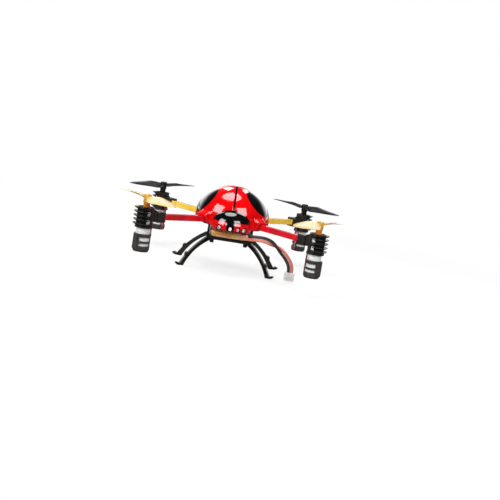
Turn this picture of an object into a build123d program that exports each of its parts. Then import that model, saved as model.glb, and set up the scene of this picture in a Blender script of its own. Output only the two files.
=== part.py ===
from build123d import *
from math import atan, atan2, cos, degrees, hypot, pi, radians, sin, sqrt
import os

# A palm-size quadrotor with a domed canopy. Lengths are in millimetres. +Z is up, the nose
# points along -Y, and the origin is on the ground under the centre of the four motor axes.

# ---------------------------------------------------------------- driving dimensions
motor_spacing = 85.0          # between neighbouring motor axes
motor_dia = 7.0
motor_length = 20.0
motor_top = 29.95             # top of the can above the ground
shaft_dia = 1.0
propeller_dia = 55.0
propeller_pitch = 22.0        # advance per turn
blade_height = 35.4           # of the blades' middle plane
arm_width = 3.0               # square tube
arm_bore = 2.0
arm_height = 26.3             # arm centre line
canopy_radius = 20.0
canopy_centre = 27.5          # height where the dome's wall turns upright
canopy_rise = 17.1            # from there to the top
canopy_wall = 0.6
canopy_shoulder = 15.5        # radius of the dome's shoulder arc
canopy_rim = 22.2             # lowest edge, at the nose
canopy_side_rim = 24.6
battery_width = 22.0
battery_length = 31.6
battery_height = 4.25
battery_floor = 17.85
lead_dia = 1.65
gap = 0.03                    # between pieces that are pushed together

# ---------------------------------------------------------------- derived sizes
motor_reach = motor_spacing / sqrt(2)      # hub centre to motor axis
motor_radius = motor_dia / 2
motor_bottom = motor_top - motor_length
shaft_radius = shaft_dia / 2
shaft_top = 36.3
arm_start = 12.6                           # inner end, from the hub centre
arm_end = 6.2                              # outer end, from the motor axis
arm_bottom = arm_height - arm_width / 2
arm_top = arm_height + arm_width / 2

bearings = {"front_left": 225, "front_right": 315, "rear_left": 135, "rear_right": 45}
blade_rest = {"front_left": -56.5, "front_right": 59.0, "rear_left": 52.0, "rear_right": -50.0}
spin_sense = {"front_left": 1, "front_right": -1, "rear_left": -1, "rear_right": 1}

os.makedirs("parts", exist_ok=True)


def corner_location(corner, turn=None):
    """Motor axis of a corner. Local +X points outward, or along the bearing given by turn."""
    bearing = radians(bearings[corner])
    heading = bearings[corner] if turn is None else turn
    spot = (motor_reach * cos(bearing), motor_reach * sin(bearing), 0)
    return Location(spot, (0, 0, heading))


def upright_plane(bearing):
    """Vertical plane through the Z axis, its local X along a bearing and its local Y up."""
    a = radians(bearing)
    return Plane(origin=(0, 0, 0), x_dir=(cos(a), sin(a), 0), z_dir=(sin(a), -cos(a), 0))


def facing_plane(bearing, distance=0):
    """Vertical plane across a bearing, its normal along it and its local Y up."""
    a = radians(bearing)
    spot = (distance * cos(a), distance * sin(a), 0)
    return Plane(origin=spot, x_dir=(-sin(a), cos(a), 0), z_dir=(cos(a), sin(a), 0))


# ================================================================ canopy
def dome_section(growth, bottom):
    """Half section of the dome, grown outward by a distance: a flatter crown arc, a tighter
    shoulder arc tangent to it, and an upright wall below."""
    radius = canopy_radius + growth
    rise = canopy_rise + growth
    shoulder = canopy_shoulder + growth
    inset = radius - shoulder
    crown = (inset**2 + rise**2 - shoulder**2) / (2 * (rise - shoulder))
    lean = degrees(atan2(crown - rise, inset))
    with BuildSketch(Plane.XZ) as section:
        with BuildLine():
            side = CenterArc((inset, canopy_centre), shoulder, 0, lean)
            top = CenterArc((0, canopy_centre + rise - crown), crown, lean, 90 - lean)
            Polyline(side @ 0, (radius, bottom), (0, bottom), top @ 1)
        make_face()
    return section.sketch


face_half_width = 9.8
face_spring = 26.2            # where the face's upright sides meet its arch
face_rise = 7.0


def face_arch(margin):
    """Front outline of the face: an elliptical arch on upright sides."""
    half_width = face_half_width + margin
    rise = face_rise + margin
    with BuildSketch(Plane.XZ.offset(canopy_radius / 2)) as outline:
        with BuildLine():
            arch = EllipticalCenterArc(
                (0, face_spring), half_width, rise, start_angle=0, arc_size=180
            )
            Polyline(arch @ 1, (-half_width, canopy_rim - 1), (half_width, canopy_rim - 1), arch @ 0)
        make_face()
    return outline.sketch


# The face bulges forward: an arc turned about an upright axis behind it.
bulge_axis = Axis((0, -11.7, 0), (0, 0, 1))
bulge_offset = 2.2            # of the arc's centre from that axis
bulge_radius = 10.5
bulge_height = 23.3           # of the arc's centre


def bulge_section(growth, bottom):
    """Half section of the bulge, grown outward by a distance, in the plane of its axis."""
    radius = bulge_radius + growth
    with BuildSketch(Plane.XZ.offset(-bulge_axis.position.Y)) as section:
        with BuildLine():
            front = CenterArc((bulge_offset, bulge_height), radius, 0, 90)
            Polyline(front @ 1, (0, bulge_height + radius), (0, bottom))
            Polyline((0, bottom), (bulge_offset + radius, bottom), front @ 0)
        make_face()
    return section.sketch


saddle_width = 5.6
saddle_reach = 23.4           # of its tip from the canopy's axis
saddle_foot = 21.2
saddle_root = 14.0            # inside the dome's wall
saddle_slope = 18.0           # where its sloping back ends
saddle_cover = 0.9            # above the arm, at the tip
saddle_height = 3.6           # above the arm, at the root
saddle_round = 0.8
arm_clearance = 0.15

clear = canopy_radius + 7      # beyond the outside of the canopy

with BuildPart() as canopy_shell:
    revolve(dome_section(0, canopy_rim), axis=Axis.Z)
    # a tapering saddle over each arm
    for bearing in bearings.values():
        with BuildSketch(upright_plane(bearing)):
            with BuildLine():
                Polyline(
                    (saddle_root, canopy_side_rim),
                    (saddle_foot, canopy_side_rim),
                    (saddle_reach, arm_top + saddle_cover),
                    (saddle_slope, arm_top + saddle_height),
                    (saddle_root, arm_top + saddle_height),
                    close=True,
                )
            make_face()
        extrude(amount=saddle_width / 2, both=True)
    saddle_tops = canopy_shell.edges().filter_by_position(
        Axis.Z, arm_top + saddle_cover / 2, arm_top + saddle_height + 0.1
    )
    sloping = saddle_tops.filter_by(GeomType.LINE).filter_by(lambda e: abs((e % 0).Z) > 0.1)
    fillet(sloping, saddle_round)
    revolve(dome_section(-canopy_wall, canopy_rim - 1), axis=Axis.Z, mode=Mode.SUBTRACT)
    # the arms enter through slots that are open at the rim, so the canopy lifts off
    for bearing in bearings.values():
        with BuildSketch(facing_plane(bearing)):
            with Locations((0, (arm_top + arm_clearance + canopy_rim - 2) / 2)):
                Rectangle(arm_width + 2 * arm_clearance, arm_top + arm_clearance - canopy_rim + 2)
        extrude(amount=saddle_reach + 2, mode=Mode.SUBTRACT)
    # the rim drops towards the nose
    with BuildSketch(Plane.YZ):
        with BuildLine():
            Polyline(
                (-clear, canopy_rim - 2),
                (-clear, canopy_rim),
                (-19.4, canopy_rim + 0.1),
                (-16.4, canopy_side_rim - 0.4),
                (-14.1, canopy_side_rim),
                (clear, canopy_side_rim),
                (clear, canopy_rim - 2),
                close=True,
            )
        make_face()
    extrude(amount=clear, both=True, mode=Mode.SUBTRACT)
    # opening for the face
    extrude(face_arch(gap), amount=canopy_radius, mode=Mode.SUBTRACT)

face_growth = 0.3             # the flange round the face stands proud of the dome
face_wall = 0.6
lip_growth = -canopy_wall - 0.05
lip_wall = 0.45
lip_margin = 0.8
light_height = 23.3
light_radius = 1.05
light_clearance = 0.15
light_bearings = [254, 269, 279, 287.5]

with BuildPart() as face_lip:
    # a lip behind the shell's wall keeps the face in its opening
    revolve(dome_section(lip_growth, canopy_rim), axis=Axis.Z)
    revolve(dome_section(lip_growth - lip_wall, canopy_rim - 1), axis=Axis.Z, mode=Mode.SUBTRACT)
    extrude(face_arch(lip_margin), amount=canopy_radius, mode=Mode.INTERSECT)

with BuildPart() as face_hollow:
    revolve(bulge_section(-face_wall, canopy_rim - 1), axis=bulge_axis)
    extrude(face_arch(-face_wall), amount=canopy_radius, mode=Mode.INTERSECT)

with BuildPart() as canopy_face:
    revolve(dome_section(face_growth, canopy_rim), axis=Axis.Z)
    revolve(bulge_section(0, canopy_rim), axis=bulge_axis)
    revolve(dome_section(lip_growth - 0.2, canopy_rim - 1), axis=Axis.Z, mode=Mode.SUBTRACT)
    extrude(face_arch(0), amount=canopy_radius, mode=Mode.INTERSECT)
    add(face_hollow.part, mode=Mode.SUBTRACT)
    add(face_lip.part)
    # notches that the light lenses stand in, open at the rim
    for bearing in light_bearings:
        with BuildSketch(facing_plane(bearing)):
            with Locations((0, light_height)):
                Circle(light_radius + light_clearance)
            with Locations((0, light_height - 2)):
                Rectangle(2 * (light_radius + light_clearance), 4)
        extrude(amount=clear, mode=Mode.SUBTRACT)

canopy_shell.part.label = "canopy_shell"
export_step(canopy_shell.part, "parts/canopy_shell.step")
canopy_face.part.label = "canopy_face"
export_step(canopy_face.part, "parts/canopy_face.step")

# ================================================================ centre frame and clamp
plate_radius = 17.6
plate_bottom = 23.5
plate_top = 24.7
screw_reach = 14.6
screw_radius = 0.6
screw_bearings = [0, 90, 180, 270]
post_x = 11.6
post_y = 10.5
post_size = (0.9, 2.2)
peg_size = (0.6, 1.4)
opening_side = 13.0           # square opening in the middle of the frame
channel_width = 5.4
channel_length = 5.7
boss_width = 3.6
bracket_inner = 16.6
bracket_outer = 18.4
bracket_start = 248           # bearing
bracket_arc = 46
clamp_bottom = arm_top + 0.02
clamp_top = 28.8
clamp_inner = 11.2
clamp_outer = 17.2
standoff_radius = 1.2
board_bottom = 30.2
board_thickness = 0.8
board_side = 21.0
board_peg = 8.9
board_peg_radius = 0.7

with BuildPart() as centre_frame:
    with BuildSketch(Plane.XY.offset(plate_bottom)):
        Circle(plate_radius)
        RectangleRounded(opening_side, opening_side, 2, mode=Mode.SUBTRACT)
    extrude(amount=plate_top - plate_bottom)
    # a channel for the inner end of each arm
    for bearing in bearings.values():
        with BuildSketch(facing_plane(bearing, arm_start - 0.1)):
            with Locations((0, (plate_bottom + arm_top) / 2)):
                Rectangle(channel_width, arm_top - plate_bottom - 0.05)
        extrude(amount=channel_length)
    # bosses for the clamp screws
    with BuildSketch(Plane.XY.offset(plate_bottom)):
        with PolarLocations(screw_reach, len(screw_bearings)):
            Circle(boss_width / 2)
    extrude(amount=arm_top - 0.05 - plate_bottom)
    # curved bracket that carries the four light lenses
    with BuildSketch(Plane.XY.offset(canopy_rim + 0.1)):
        with BuildLine():
            outer = CenterArc((0, 0), bracket_outer, bracket_start, bracket_arc)
            inner = CenterArc((0, 0), bracket_inner, bracket_start, bracket_arc)
            Line(outer @ 0, inner @ 0)
            Line(outer @ 1, inner @ 1)
        make_face()
    extrude(amount=plate_top - canopy_rim - 0.1)
    for bearing in bearings.values():
        with BuildSketch(facing_plane(bearing, arm_start - 1)):
            with Locations((0, arm_height + 1)):
                Rectangle(arm_width + 2 * gap, arm_width + 2 * gap + 2)
        extrude(amount=8, mode=Mode.SUBTRACT)
    for bearing in light_bearings:
        with BuildSketch(facing_plane(bearing)):
            with Locations((0, light_height)):
                Circle(light_radius + gap)
        extrude(amount=20, mode=Mode.SUBTRACT)
    with BuildSketch(Plane.XY.offset(plate_bottom)):
        with PolarLocations(screw_reach, len(screw_bearings)):
            Circle(screw_radius + gap)
    extrude(amount=5, mode=Mode.SUBTRACT)
    with BuildSketch(Plane.XY.offset(plate_bottom)):
        with GridLocations(2 * post_x, 2 * post_y, 2, 2):
            Rectangle(peg_size[0] + 2 * gap, peg_size[1] + 2 * gap)
    extrude(amount=plate_top - plate_bottom, mode=Mode.SUBTRACT)

with BuildPart() as clamp_plate:
    with BuildSketch(Plane.XY.offset(clamp_bottom)):
        Circle(clamp_outer)
        Circle(clamp_inner, mode=Mode.SUBTRACT)
    extrude(amount=clamp_top - clamp_bottom)
    # standoffs and locating pegs for the flight board
    with BuildSketch(Plane.XY.offset(clamp_top)):
        with GridLocations(2 * board_peg, 2 * board_peg, 2, 2):
            Circle(standoff_radius)
    extrude(amount=board_bottom - clamp_top)
    with BuildSketch(Plane.XY.offset(board_bottom)):
        with GridLocations(2 * board_peg, 2 * board_peg, 2, 2):
            Circle(board_peg_radius)
    extrude(amount=board_thickness + 0.5)
    with BuildSketch(Plane.XY.offset(clamp_bottom)):
        with PolarLocations(screw_reach, len(screw_bearings)):
            Circle(screw_radius + 0.1)
    extrude(amount=2, mode=Mode.SUBTRACT)

screw_head_radius = 1.15
screw_head_height = 0.8
screw_start = plate_bottom + 0.4
screw_seat = clamp_top + 0.02
recess_length = 1.4
recess_width = 0.3
recess_depth = 0.45

with BuildPart() as clamp_screws:
    with BuildSketch(Plane.XY.offset(screw_start)):
        with PolarLocations(screw_reach, len(screw_bearings)):
            Circle(screw_radius)
    extrude(amount=screw_seat - screw_start)
    with BuildSketch(Plane.XY.offset(screw_seat)):
        with PolarLocations(screw_reach, len(screw_bearings)):
            Circle(screw_head_radius)
    extrude(amount=screw_head_height)
    fillet(clamp_screws.edges().group_by(Axis.Z)[-1], 0.3)
    # cross recess in each head
    with BuildSketch(Plane.XY.offset(screw_seat + screw_head_height)):
        with PolarLocations(screw_reach, len(screw_bearings)):
            Rectangle(recess_length, recess_width)
            Rectangle(recess_width, recess_length)
    extrude(amount=-recess_depth, mode=Mode.SUBTRACT)

centre_frame.part.label = "centre_frame"
export_step(centre_frame.part, "parts/centre_frame.step")
clamp_plate.part.label = "arm_clamp_plate"
export_step(clamp_plate.part, "parts/arm_clamp_plate.step")
clamp_screws.part.label = "clamp_screws"
export_step(clamp_screws.part, "parts/clamp_screws.step")

# ================================================================ nose lights
light_root = 16.8
light_tip = 23.2

with BuildPart() as nose_lights:
    for bearing in light_bearings:
        with BuildSketch(facing_plane(bearing, light_root)):
            with Locations((0, light_height)):
                Circle(light_radius)
        extrude(amount=light_tip - light_root)
    lens_rims = nose_lights.edges().filter_by(GeomType.CIRCLE)
    fillet(lens_rims.filter_by(lambda e: hypot(e.arc_center.X, e.arc_center.Y) > 20), 0.5)

nose_lights.part.label = "nose_lights"
export_step(nose_lights.part, "parts/nose_lights.step")

# ================================================================ flight board
board_top = board_bottom + board_thickness

with BuildPart() as flight_board:
    with BuildSketch(Plane.XY.offset(board_bottom)) as board_outline:
        Rectangle(board_side, board_side)
        chamfer(board_outline.vertices(), 1.2)
        with GridLocations(2 * board_peg, 2 * board_peg, 2, 2):
            Circle(board_peg_radius + gap, mode=Mode.SUBTRACT)
    extrude(amount=board_thickness)


def chip(width, depth, height, spots):
    """Square-cornered packages standing on the board, with a small pin-one dimple."""
    with BuildPart() as package:
        with BuildSketch(Plane.XY.offset(board_top)):
            with Locations(*spots):
                Rectangle(width, depth)
        extrude(amount=height)
        chamfer(package.edges().group_by(Axis.Z)[-1], 0.12)
        with BuildSketch(Plane.XY.offset(board_top + height)):
            with Locations(*[(x - width / 2 + 0.6, y + depth / 2 - 0.5) for x, y in spots]):
                Circle(0.2)
        extrude(amount=-0.1, mode=Mode.SUBTRACT)
    return package.part


flight_board.part.label = "flight_board"
export_step(flight_board.part, "parts/flight_board.step")

main_processor = chip(7, 7, 0.9, [(0, -1)])
motion_sensor = chip(4, 4, 0.9, [(6.6, -1.5)])
radio_chip = chip(4, 4, 0.8, [(-6.6, -1.5)])
radio_crystal = chip(3.2, 1.6, 0.7, [(-6.6, 2.4)])
drive_transistors = chip(2.9, 1.4, 1.0, [(-5.5, -8.5), (5.5, -8.5), (-5.5, 5.2), (5.5, 5.2)])
board_capacitors = chip(1.6, 0.8, 0.8, [(0, 4.0), (0, -6.0), (9.0, 2.0), (-9.0, 4.6), (2.6, -8.6)])

for name, piece in {
    "main_processor": main_processor,
    "motion_sensor": motion_sensor,
    "radio_chip": radio_chip,
    "radio_crystal": radio_crystal,
    "drive_transistors": drive_transistors,
    "board_capacitors": board_capacitors,
}.items():
    piece.label = name
    export_step(piece, f"parts/{name}.step")

with BuildPart() as power_socket:
    with Locations((0, 7.6, board_top + 1.7)):
        Box(6.0, 4.4, 3.4)
    # mouth towards the tail, with two contact pins
    with BuildSketch(Plane.XZ.offset(-9.8)):
        with Locations((0, board_top + 1.7)):
            Rectangle(4.8, 2.2)
    extrude(amount=3.2, mode=Mode.SUBTRACT)
    with BuildSketch(Plane.XZ.offset(-9.4)):
        with Locations((-1, board_top + 1.7), (1, board_top + 1.7)):
            Rectangle(0.5, 0.5)
    extrude(amount=3.0)

power_socket.part.label = "power_socket"
export_step(power_socket.part, "parts/power_socket.step")

with BuildPart() as antenna_wire:
    with BuildLine():
        aerial = Spline(
            (-9.4, -4.0, board_top + 0.25),
            (-12.5, -1.0, board_top + 2.0),
            (-11.0, 6.0, board_top + 3.2),
            (-3.0, 11.0, board_top + 4.4),
            (5.0, 10.5, board_top + 5.0),
        )
    with BuildSketch(Plane(origin=aerial @ 0, z_dir=aerial % 0)):
        Circle(0.25)
    sweep()

antenna_wire.part.label = "antenna_wire"
export_step(antenna_wire.part, "parts/antenna_wire.step")

# ================================================================ arm, in a corner's own frame
# Corner frame: the motor axis is Z, +X points away from the hub.
with BuildPart() as arm:
    with BuildSketch(Plane.YZ.offset(arm_start - motor_reach)):
        with Locations((0, arm_height)):
            RectangleRounded(arm_width, arm_width, 0.2)
            Rectangle(arm_bore, arm_bore, mode=Mode.SUBTRACT)
    extrude(amount=motor_reach - arm_start - arm_end)

# ================================================================ motor mount
mount_bottom = 20.8
mount_top = 31.05
mount_radius = 4.1
lid_bottom = 30.0
lid_top = 30.5
fin_count = 5
fin_pitch = 1.95
fin_half_angle = 72
fin_tip = 5.7
fin_root_top = 0.3            # upper and lower edge of a fin at its root and at its tip
fin_root_bottom = -0.75
fin_tip_top = 0.5
fin_tip_bottom = 0.25
window_width = 2.2
window_height = 1.95
window_bearing = 80
window_heights = [23.95, 27.85]
socket_near = 5.8             # from the motor axis
socket_far = 11.0
socket_size = 5.1
neck_width = 4.4
neck_height = 4.6
boss_radius = 1.0             # bearing boss on the motor

with BuildPart() as motor_mount:
    with BuildSketch(Plane.XY.offset(mount_bottom)):
        Circle(mount_radius)
    extrude(amount=mount_top - mount_bottom)
    # a low flange round the lower edge
    with BuildSketch(Plane.XY.offset(mount_bottom)):
        Circle(mount_radius + 0.35)
    extrude(amount=0.9)
    # cooling fins on the outer side, rising to sharp tips
    for row in range(fin_count):
        root = mount_top - 0.9 - row * fin_pitch
        with BuildSketch(upright_plane(-fin_half_angle)):
            with BuildLine():
                Polyline(
                    (mount_radius - 0.3, root + fin_root_bottom),
                    (fin_tip, root + fin_tip_bottom),
                    (fin_tip, root + fin_tip_top),
                    (mount_radius - 0.3, root + fin_root_top),
                    close=True,
                )
            make_face()
        revolve(axis=Axis.Z, revolution_arc=2 * fin_half_angle)
    # neck, socket block and a gusset above the neck
    with Locations((-(mount_radius + socket_near) / 2, 0, arm_height)):
        Box(socket_near - mount_radius + 1.2, neck_width, neck_height)
    with Locations((-(socket_near + socket_far) / 2, 0, arm_height)):
        Box(socket_far - socket_near, socket_size, socket_size)
    with BuildSketch(Plane.XZ):
        with BuildLine():
            Polyline(
                (-mount_radius + 0.3, arm_height),
                (-mount_radius + 0.3, mount_top - 0.6),
                (-socket_near - 1.6, arm_height + socket_size / 2),
                (-socket_near - 1.6, arm_height),
                close=True,
            )
        make_face()
    extrude(amount=0.6, both=True)
    block_edges = motor_mount.edges().filter_by_position(Axis.X, -socket_far - 0.01, -socket_far + 0.01)
    fillet(block_edges, 0.35)
    # seat for the motor, closed by a lid with a hole for its bearing boss
    with BuildSketch(Plane.XY.offset(mount_bottom)):
        Circle(motor_radius + gap)
    extrude(amount=lid_bottom - mount_bottom, mode=Mode.SUBTRACT)
    with BuildSketch(Plane.XY.offset(lid_bottom)):
        Circle(boss_radius + 0.1)
    extrude(amount=2, mode=Mode.SUBTRACT)
    with BuildSketch(Plane.XY.offset(lid_top)):
        Circle(motor_radius - 0.1)
    extrude(amount=2, mode=Mode.SUBTRACT)
    # square socket for the arm, and the duct that brings the motor wires to it
    with Locations((-(socket_far + arm_end) / 2, 0, arm_height)):
        Box(
            socket_far - arm_end + 2 * gap,
            arm_width + 2 * gap,
            arm_width + 2 * gap,
            mode=Mode.SUBTRACT,
        )
    with Locations((-5.3, 0, arm_height)):
        Box(2.0, 1.9, 2.0, mode=Mode.SUBTRACT)
    with Locations((-4.75, 0, arm_height - 2)):
        Box(0.9, 1.5, 4.2, mode=Mode.SUBTRACT)
    # windows in both flanks
    for bearing in (-window_bearing, window_bearing):
        with BuildSketch(facing_plane(bearing)):
            with Locations(*[(0, height) for height in window_heights]):
                Rectangle(window_width, window_height)
        extrude(amount=mount_radius + 1, mode=Mode.SUBTRACT)

# ================================================================ motor cap
cap_bottom = 8.95
cap_floor = 9.35
cap_top = 17.85
cap_radius = 4.15
slot_bearings = (96, -96)
slot_arc = 132
slot_levels = [(11.9, 13.3), (14.3, 16.2)]

with BuildPart() as motor_cap:
    with BuildSketch(Plane.XY.offset(cap_bottom)):
        Circle(cap_radius)
    extrude(amount=cap_top - cap_bottom)
    chamfer(motor_cap.edges().group_by(Axis.Z)[0], 1.1, 0.5)
    with BuildSketch(Plane.XY.offset(cap_top - 0.7)):
        Circle(cap_radius + 0.15)
    extrude(amount=0.7)
    # upright rib on the outer side
    with BuildSketch(Plane.XY.offset(cap_bottom + 1.4)):
        with Locations((cap_radius, 0)):
            Rectangle(0.6, 3.0)
    extrude(amount=cap_top - cap_bottom - 1.4)
    with BuildSketch(Plane.XY.offset(cap_floor)):
        Circle(motor_radius + gap)
    extrude(amount=cap_top - cap_floor, mode=Mode.SUBTRACT)
    # two stacked slots in each flank
    for bearing in slot_bearings:
        for low, high in slot_levels:
            with BuildSketch(upright_plane(bearing - slot_arc / 2)):
                with Locations((cap_radius, (low + high) / 2)):
                    Rectangle(2.4, high - low)
            revolve(axis=Axis.Z, revolution_arc=slot_arc, mode=Mode.SUBTRACT)
    # slit for the motor wires on the hub side
    with Locations((-cap_radius, 0, (cap_floor + cap_top) / 2 + 0.5)):
        Box(2.0, 1.7, cap_top - cap_floor + 1, mode=Mode.SUBTRACT)

# ================================================================ motor
can_wall = 0.3
can_bottom = motor_bottom + 1.0
can_roof = motor_top - 0.4
bearing_radius = shaft_radius + 0.03

with BuildPart() as motor_can:
    with BuildSketch(Plane.XY.offset(can_bottom)):
        Circle(motor_radius)
    extrude(amount=motor_top - can_bottom)
    fillet(motor_can.edges().group_by(Axis.Z)[-1], 0.35)
    with BuildSketch(Plane.XY.offset(motor_top)):
        Circle(boss_radius)
    extrude(amount=0.5)
    with BuildSketch(Plane.XY.offset(can_bottom)):
        Circle(motor_radius - can_wall)
    extrude(amount=can_roof - can_bottom, mode=Mode.SUBTRACT)
    with BuildSketch(Plane.XY.offset(can_roof)):
        Circle(bearing_radius)
    extrude(amount=2, mode=Mode.SUBTRACT)

with BuildPart() as motor_magnet:
    with BuildSketch(Plane.XY.offset(16.6)):
        Circle(2.0)
        Circle(0.8, mode=Mode.SUBTRACT)
    extrude(amount=can_roof - 16.6)

with BuildPart() as motor_end_bell:
    with BuildSketch(Plane.XY.offset(motor_bottom)):
        Circle(motor_radius)
    extrude(amount=can_bottom - motor_bottom)
    with BuildSketch(Plane.XY.offset(can_bottom)):
        Circle(motor_radius - can_wall - 0.03)
    extrude(amount=1.6)
    # two spring brushes beside the commutator
    with BuildSketch(Plane.XY.offset(can_bottom + 1.6)):
        with Locations((0, 1.25), (0, -1.25)):
            Rectangle(1.2, 0.3)
    extrude(amount=1.9)
    with BuildSketch(Plane.XY.offset(motor_bottom + 0.7)):
        Circle(bearing_radius)
    extrude(amount=3, mode=Mode.SUBTRACT)

with BuildPart() as motor_rotor:
    # shaft, commutator, and the winding basket that turns between magnet and can
    with BuildSketch(Plane.XY.offset(motor_bottom + 0.8)):
        Circle(shaft_radius)
    extrude(amount=shaft_top - motor_bottom - 0.8)
    with BuildSketch(Plane.XY.offset(13.0)):
        Circle(0.95)
    extrude(amount=2.2)
    with BuildSketch(Plane.XY.offset(15.2)):
        Circle(2.85)
    extrude(amount=0.8)
    with BuildSketch(Plane.XY.offset(16.0)):
        Circle(2.85)
        Circle(2.3, mode=Mode.SUBTRACT)
    extrude(amount=11.6)

# ================================================================ motor wires
wire_radius = 0.25
wire_side = 0.36
wire_rise = -4.75                          # upright run, on the hub side of the motor
wire_floor = (cap_floor + motor_bottom) / 2
wire_hub = 10.2 - motor_reach

with BuildPart() as wire_pair:
    for side in (-wire_side, wire_side):
        wire_plane = Plane(origin=(0, side, 0), x_dir=(1, 0, 0), z_dir=(0, -1, 0))
        with BuildLine(wire_plane):
            run = FilletPolyline(
                (-1.0, wire_floor),
                (wire_rise, wire_floor),
                (wire_rise, arm_height),
                (wire_hub, arm_height),
                (wire_hub, board_bottom),
                radius=0.7,
            )
        with BuildSketch(Plane(origin=run @ 0, z_dir=run % 0)):
            Circle(wire_radius)
        sweep()

with BuildPart() as motor_wires:
    with Locations(*[corner_location(corner) for corner in bearings]):
        add(wire_pair.part)

motor_wires.part.label = "motor_wires"
export_step(motor_wires.part, "parts/motor_wires.step")

# ================================================================ propellers
hub_bottom = 30.6
hub_top = 37.1
hub_neck = 33.0
stem_radius = 1.6
head_radius = 1.85
# along the blade: distance from the axis, chord, thickness
blade_stations = [
    (1.2, 3.0, 1.3),
    (4.5, 6.0, 1.0),
    (11.0, 8.0, 0.85),
    (18.0, 7.6, 0.7),
    (24.0, 5.6, 0.55),
    (propeller_dia / 2 - 0.1, 2.2, 0.4),
]


def blade_pitch(span):
    """Blade angle at a distance from the axis, eased where the blade meets its hub."""
    return atan(propeller_pitch / (2 * pi * max(span, 8.0)))


def make_propeller(sense):
    """Two-blade push-on propeller. sense is +1 for a blade that lifts turning anticlockwise."""
    with BuildPart() as propeller:
        with BuildSketch(Plane.XY.offset(hub_bottom)):
            Circle(stem_radius)
        extrude(amount=hub_top - hub_bottom)
        with BuildSketch(Plane.XY.offset(hub_neck)):
            Circle(head_radius)
        extrude(amount=hub_top - hub_neck, taper=0)
        for heading in (1, -1):
            for span, chord, thickness in blade_stations:
                angle = sense * blade_pitch(span)
                section = Plane(
                    origin=(heading * span, 0, blade_height),
                    x_dir=(0, heading * cos(angle), sin(angle)),
                    z_dir=(heading, 0, 0),
                )
                # cambered section between sharp leading and trailing edges
                with BuildSketch(section):
                    with BuildLine():
                        back = ThreePointArc((-chord / 2, 0), (0, 0.7 * thickness), (chord / 2, 0))
                        ThreePointArc(back @ 1, (0, -0.3 * thickness), back @ 0)
                    make_face()
            loft()
        # four prongs round the top, and the blind bore for the shaft
        with BuildSketch(Plane.XY.offset(hub_top)):
            Rectangle(5, 0.8)
            Rectangle(0.8, 5)
        extrude(amount=-0.55, mode=Mode.SUBTRACT)
        with BuildSketch(Plane.XY.offset(hub_bottom)):
            Circle(shaft_radius + 0.01)
        extrude(amount=shaft_top - hub_bottom + 0.1, mode=Mode.SUBTRACT)
    return propeller.part


propellers = {sense: make_propeller(sense) for sense in (1, -1)}

# ================================================================ copies at the four corners
corner_pieces = {
    "arm": arm.part,
    "motor_mount": motor_mount.part,
    "motor_cap": motor_cap.part,
    "motor_can": motor_can.part,
    "motor_magnet": motor_magnet.part,
    "motor_end_bell": motor_end_bell.part,
    "motor_rotor": motor_rotor.part,
}
for corner in bearings:
    for name, piece in corner_pieces.items():
        with BuildPart() as placed:
            with Locations(corner_location(corner)):
                add(piece)
        placed.part.label = f"{name}_{corner}"
        export_step(placed.part, f"parts/{name}_{corner}.step")
    with BuildPart() as placed:
        with Locations(corner_location(corner, blade_rest[corner])):
            add(propellers[spin_sense[corner]])
    placed.part.label = f"propeller_{corner}"
    export_step(placed.part, f"parts/propeller_{corner}.step")

# ================================================================ battery tray
tray_bottom = 16.6
tray_top = 17.8
tray_length = 31.0
tray_width = 20.6
post_strap = 4.4              # width of the straps that carry the posts
edge_rib = (18.0, 1.0, 0.4)   # stiffens the tray's ends from below
leg_root = (9.0, 9.0)
leg_peg_radius = 0.8

with BuildPart() as battery_tray:
    with BuildSketch(Plane.XY.offset(tray_bottom)):
        RectangleRounded(tray_width, tray_length, 1.5)
        with Locations((0, post_y), (0, -post_y)):
            Rectangle(2 * post_x + post_size[0], post_strap)
        # lightening windows
        with Locations((0, -5.6), (0, 5.6)):
            RectangleRounded(11, 7.6, 1.2, mode=Mode.SUBTRACT)
    extrude(amount=tray_top - tray_bottom)
    rib_y = (tray_length - edge_rib[1]) / 2
    with Locations((0, rib_y, tray_bottom), (0, -rib_y, tray_bottom)):
        Box(*edge_rib, align=(Align.CENTER, Align.CENTER, Align.MAX))
    # posts that straddle the battery and plug into the frame above
    with BuildSketch(Plane.XY.offset(tray_bottom)):
        with GridLocations(2 * post_x, 2 * post_y, 2, 2):
            Rectangle(*post_size)
    extrude(amount=plate_bottom - 0.02 - tray_bottom)
    with BuildSketch(Plane.XY.offset(plate_bottom - 0.02)):
        with GridLocations(2 * post_x, 2 * post_y, 2, 2):
            Rectangle(*peg_size)
    extrude(amount=plate_top - plate_bottom - 0.05)
    with BuildSketch(Plane.XY.offset(tray_bottom)):
        with GridLocations(2 * leg_root[0], 2 * leg_root[1], 2, 2):
            Circle(leg_peg_radius + gap)
    extrude(amount=tray_top - tray_bottom, mode=Mode.SUBTRACT)

battery_tray.part.label = "battery_tray"
export_step(battery_tray.part, "parts/battery_tray.step")

# ================================================================ landing legs
# In a leg's own plane the first number runs outward from its root and the second is height.
leg_heading = (16.3, 6.5)     # direction of a front leg, across and along
rear_stretch = 1.19           # rear legs reach further out
leg_width = 2.0
leg_web = 0.7
leg_top = tray_bottom - 0.02
knob_bottom = 13.7
knob_radius = 1.1
sole = (14.2, 16.2)           # flat part of the foot


def leg_plane(stretch):
    """Upright plane of the front right leg. The rear leg stands the same way, mirrored."""
    length = hypot(stretch * leg_heading[0], leg_heading[1])
    along = (stretch * leg_heading[0] / length, -leg_heading[1] / length, 0)
    return Plane(
        origin=(leg_root[0], -leg_root[1], 0),
        x_dir=along,
        z_dir=(along[1], -along[0], 0),
    )


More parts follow.
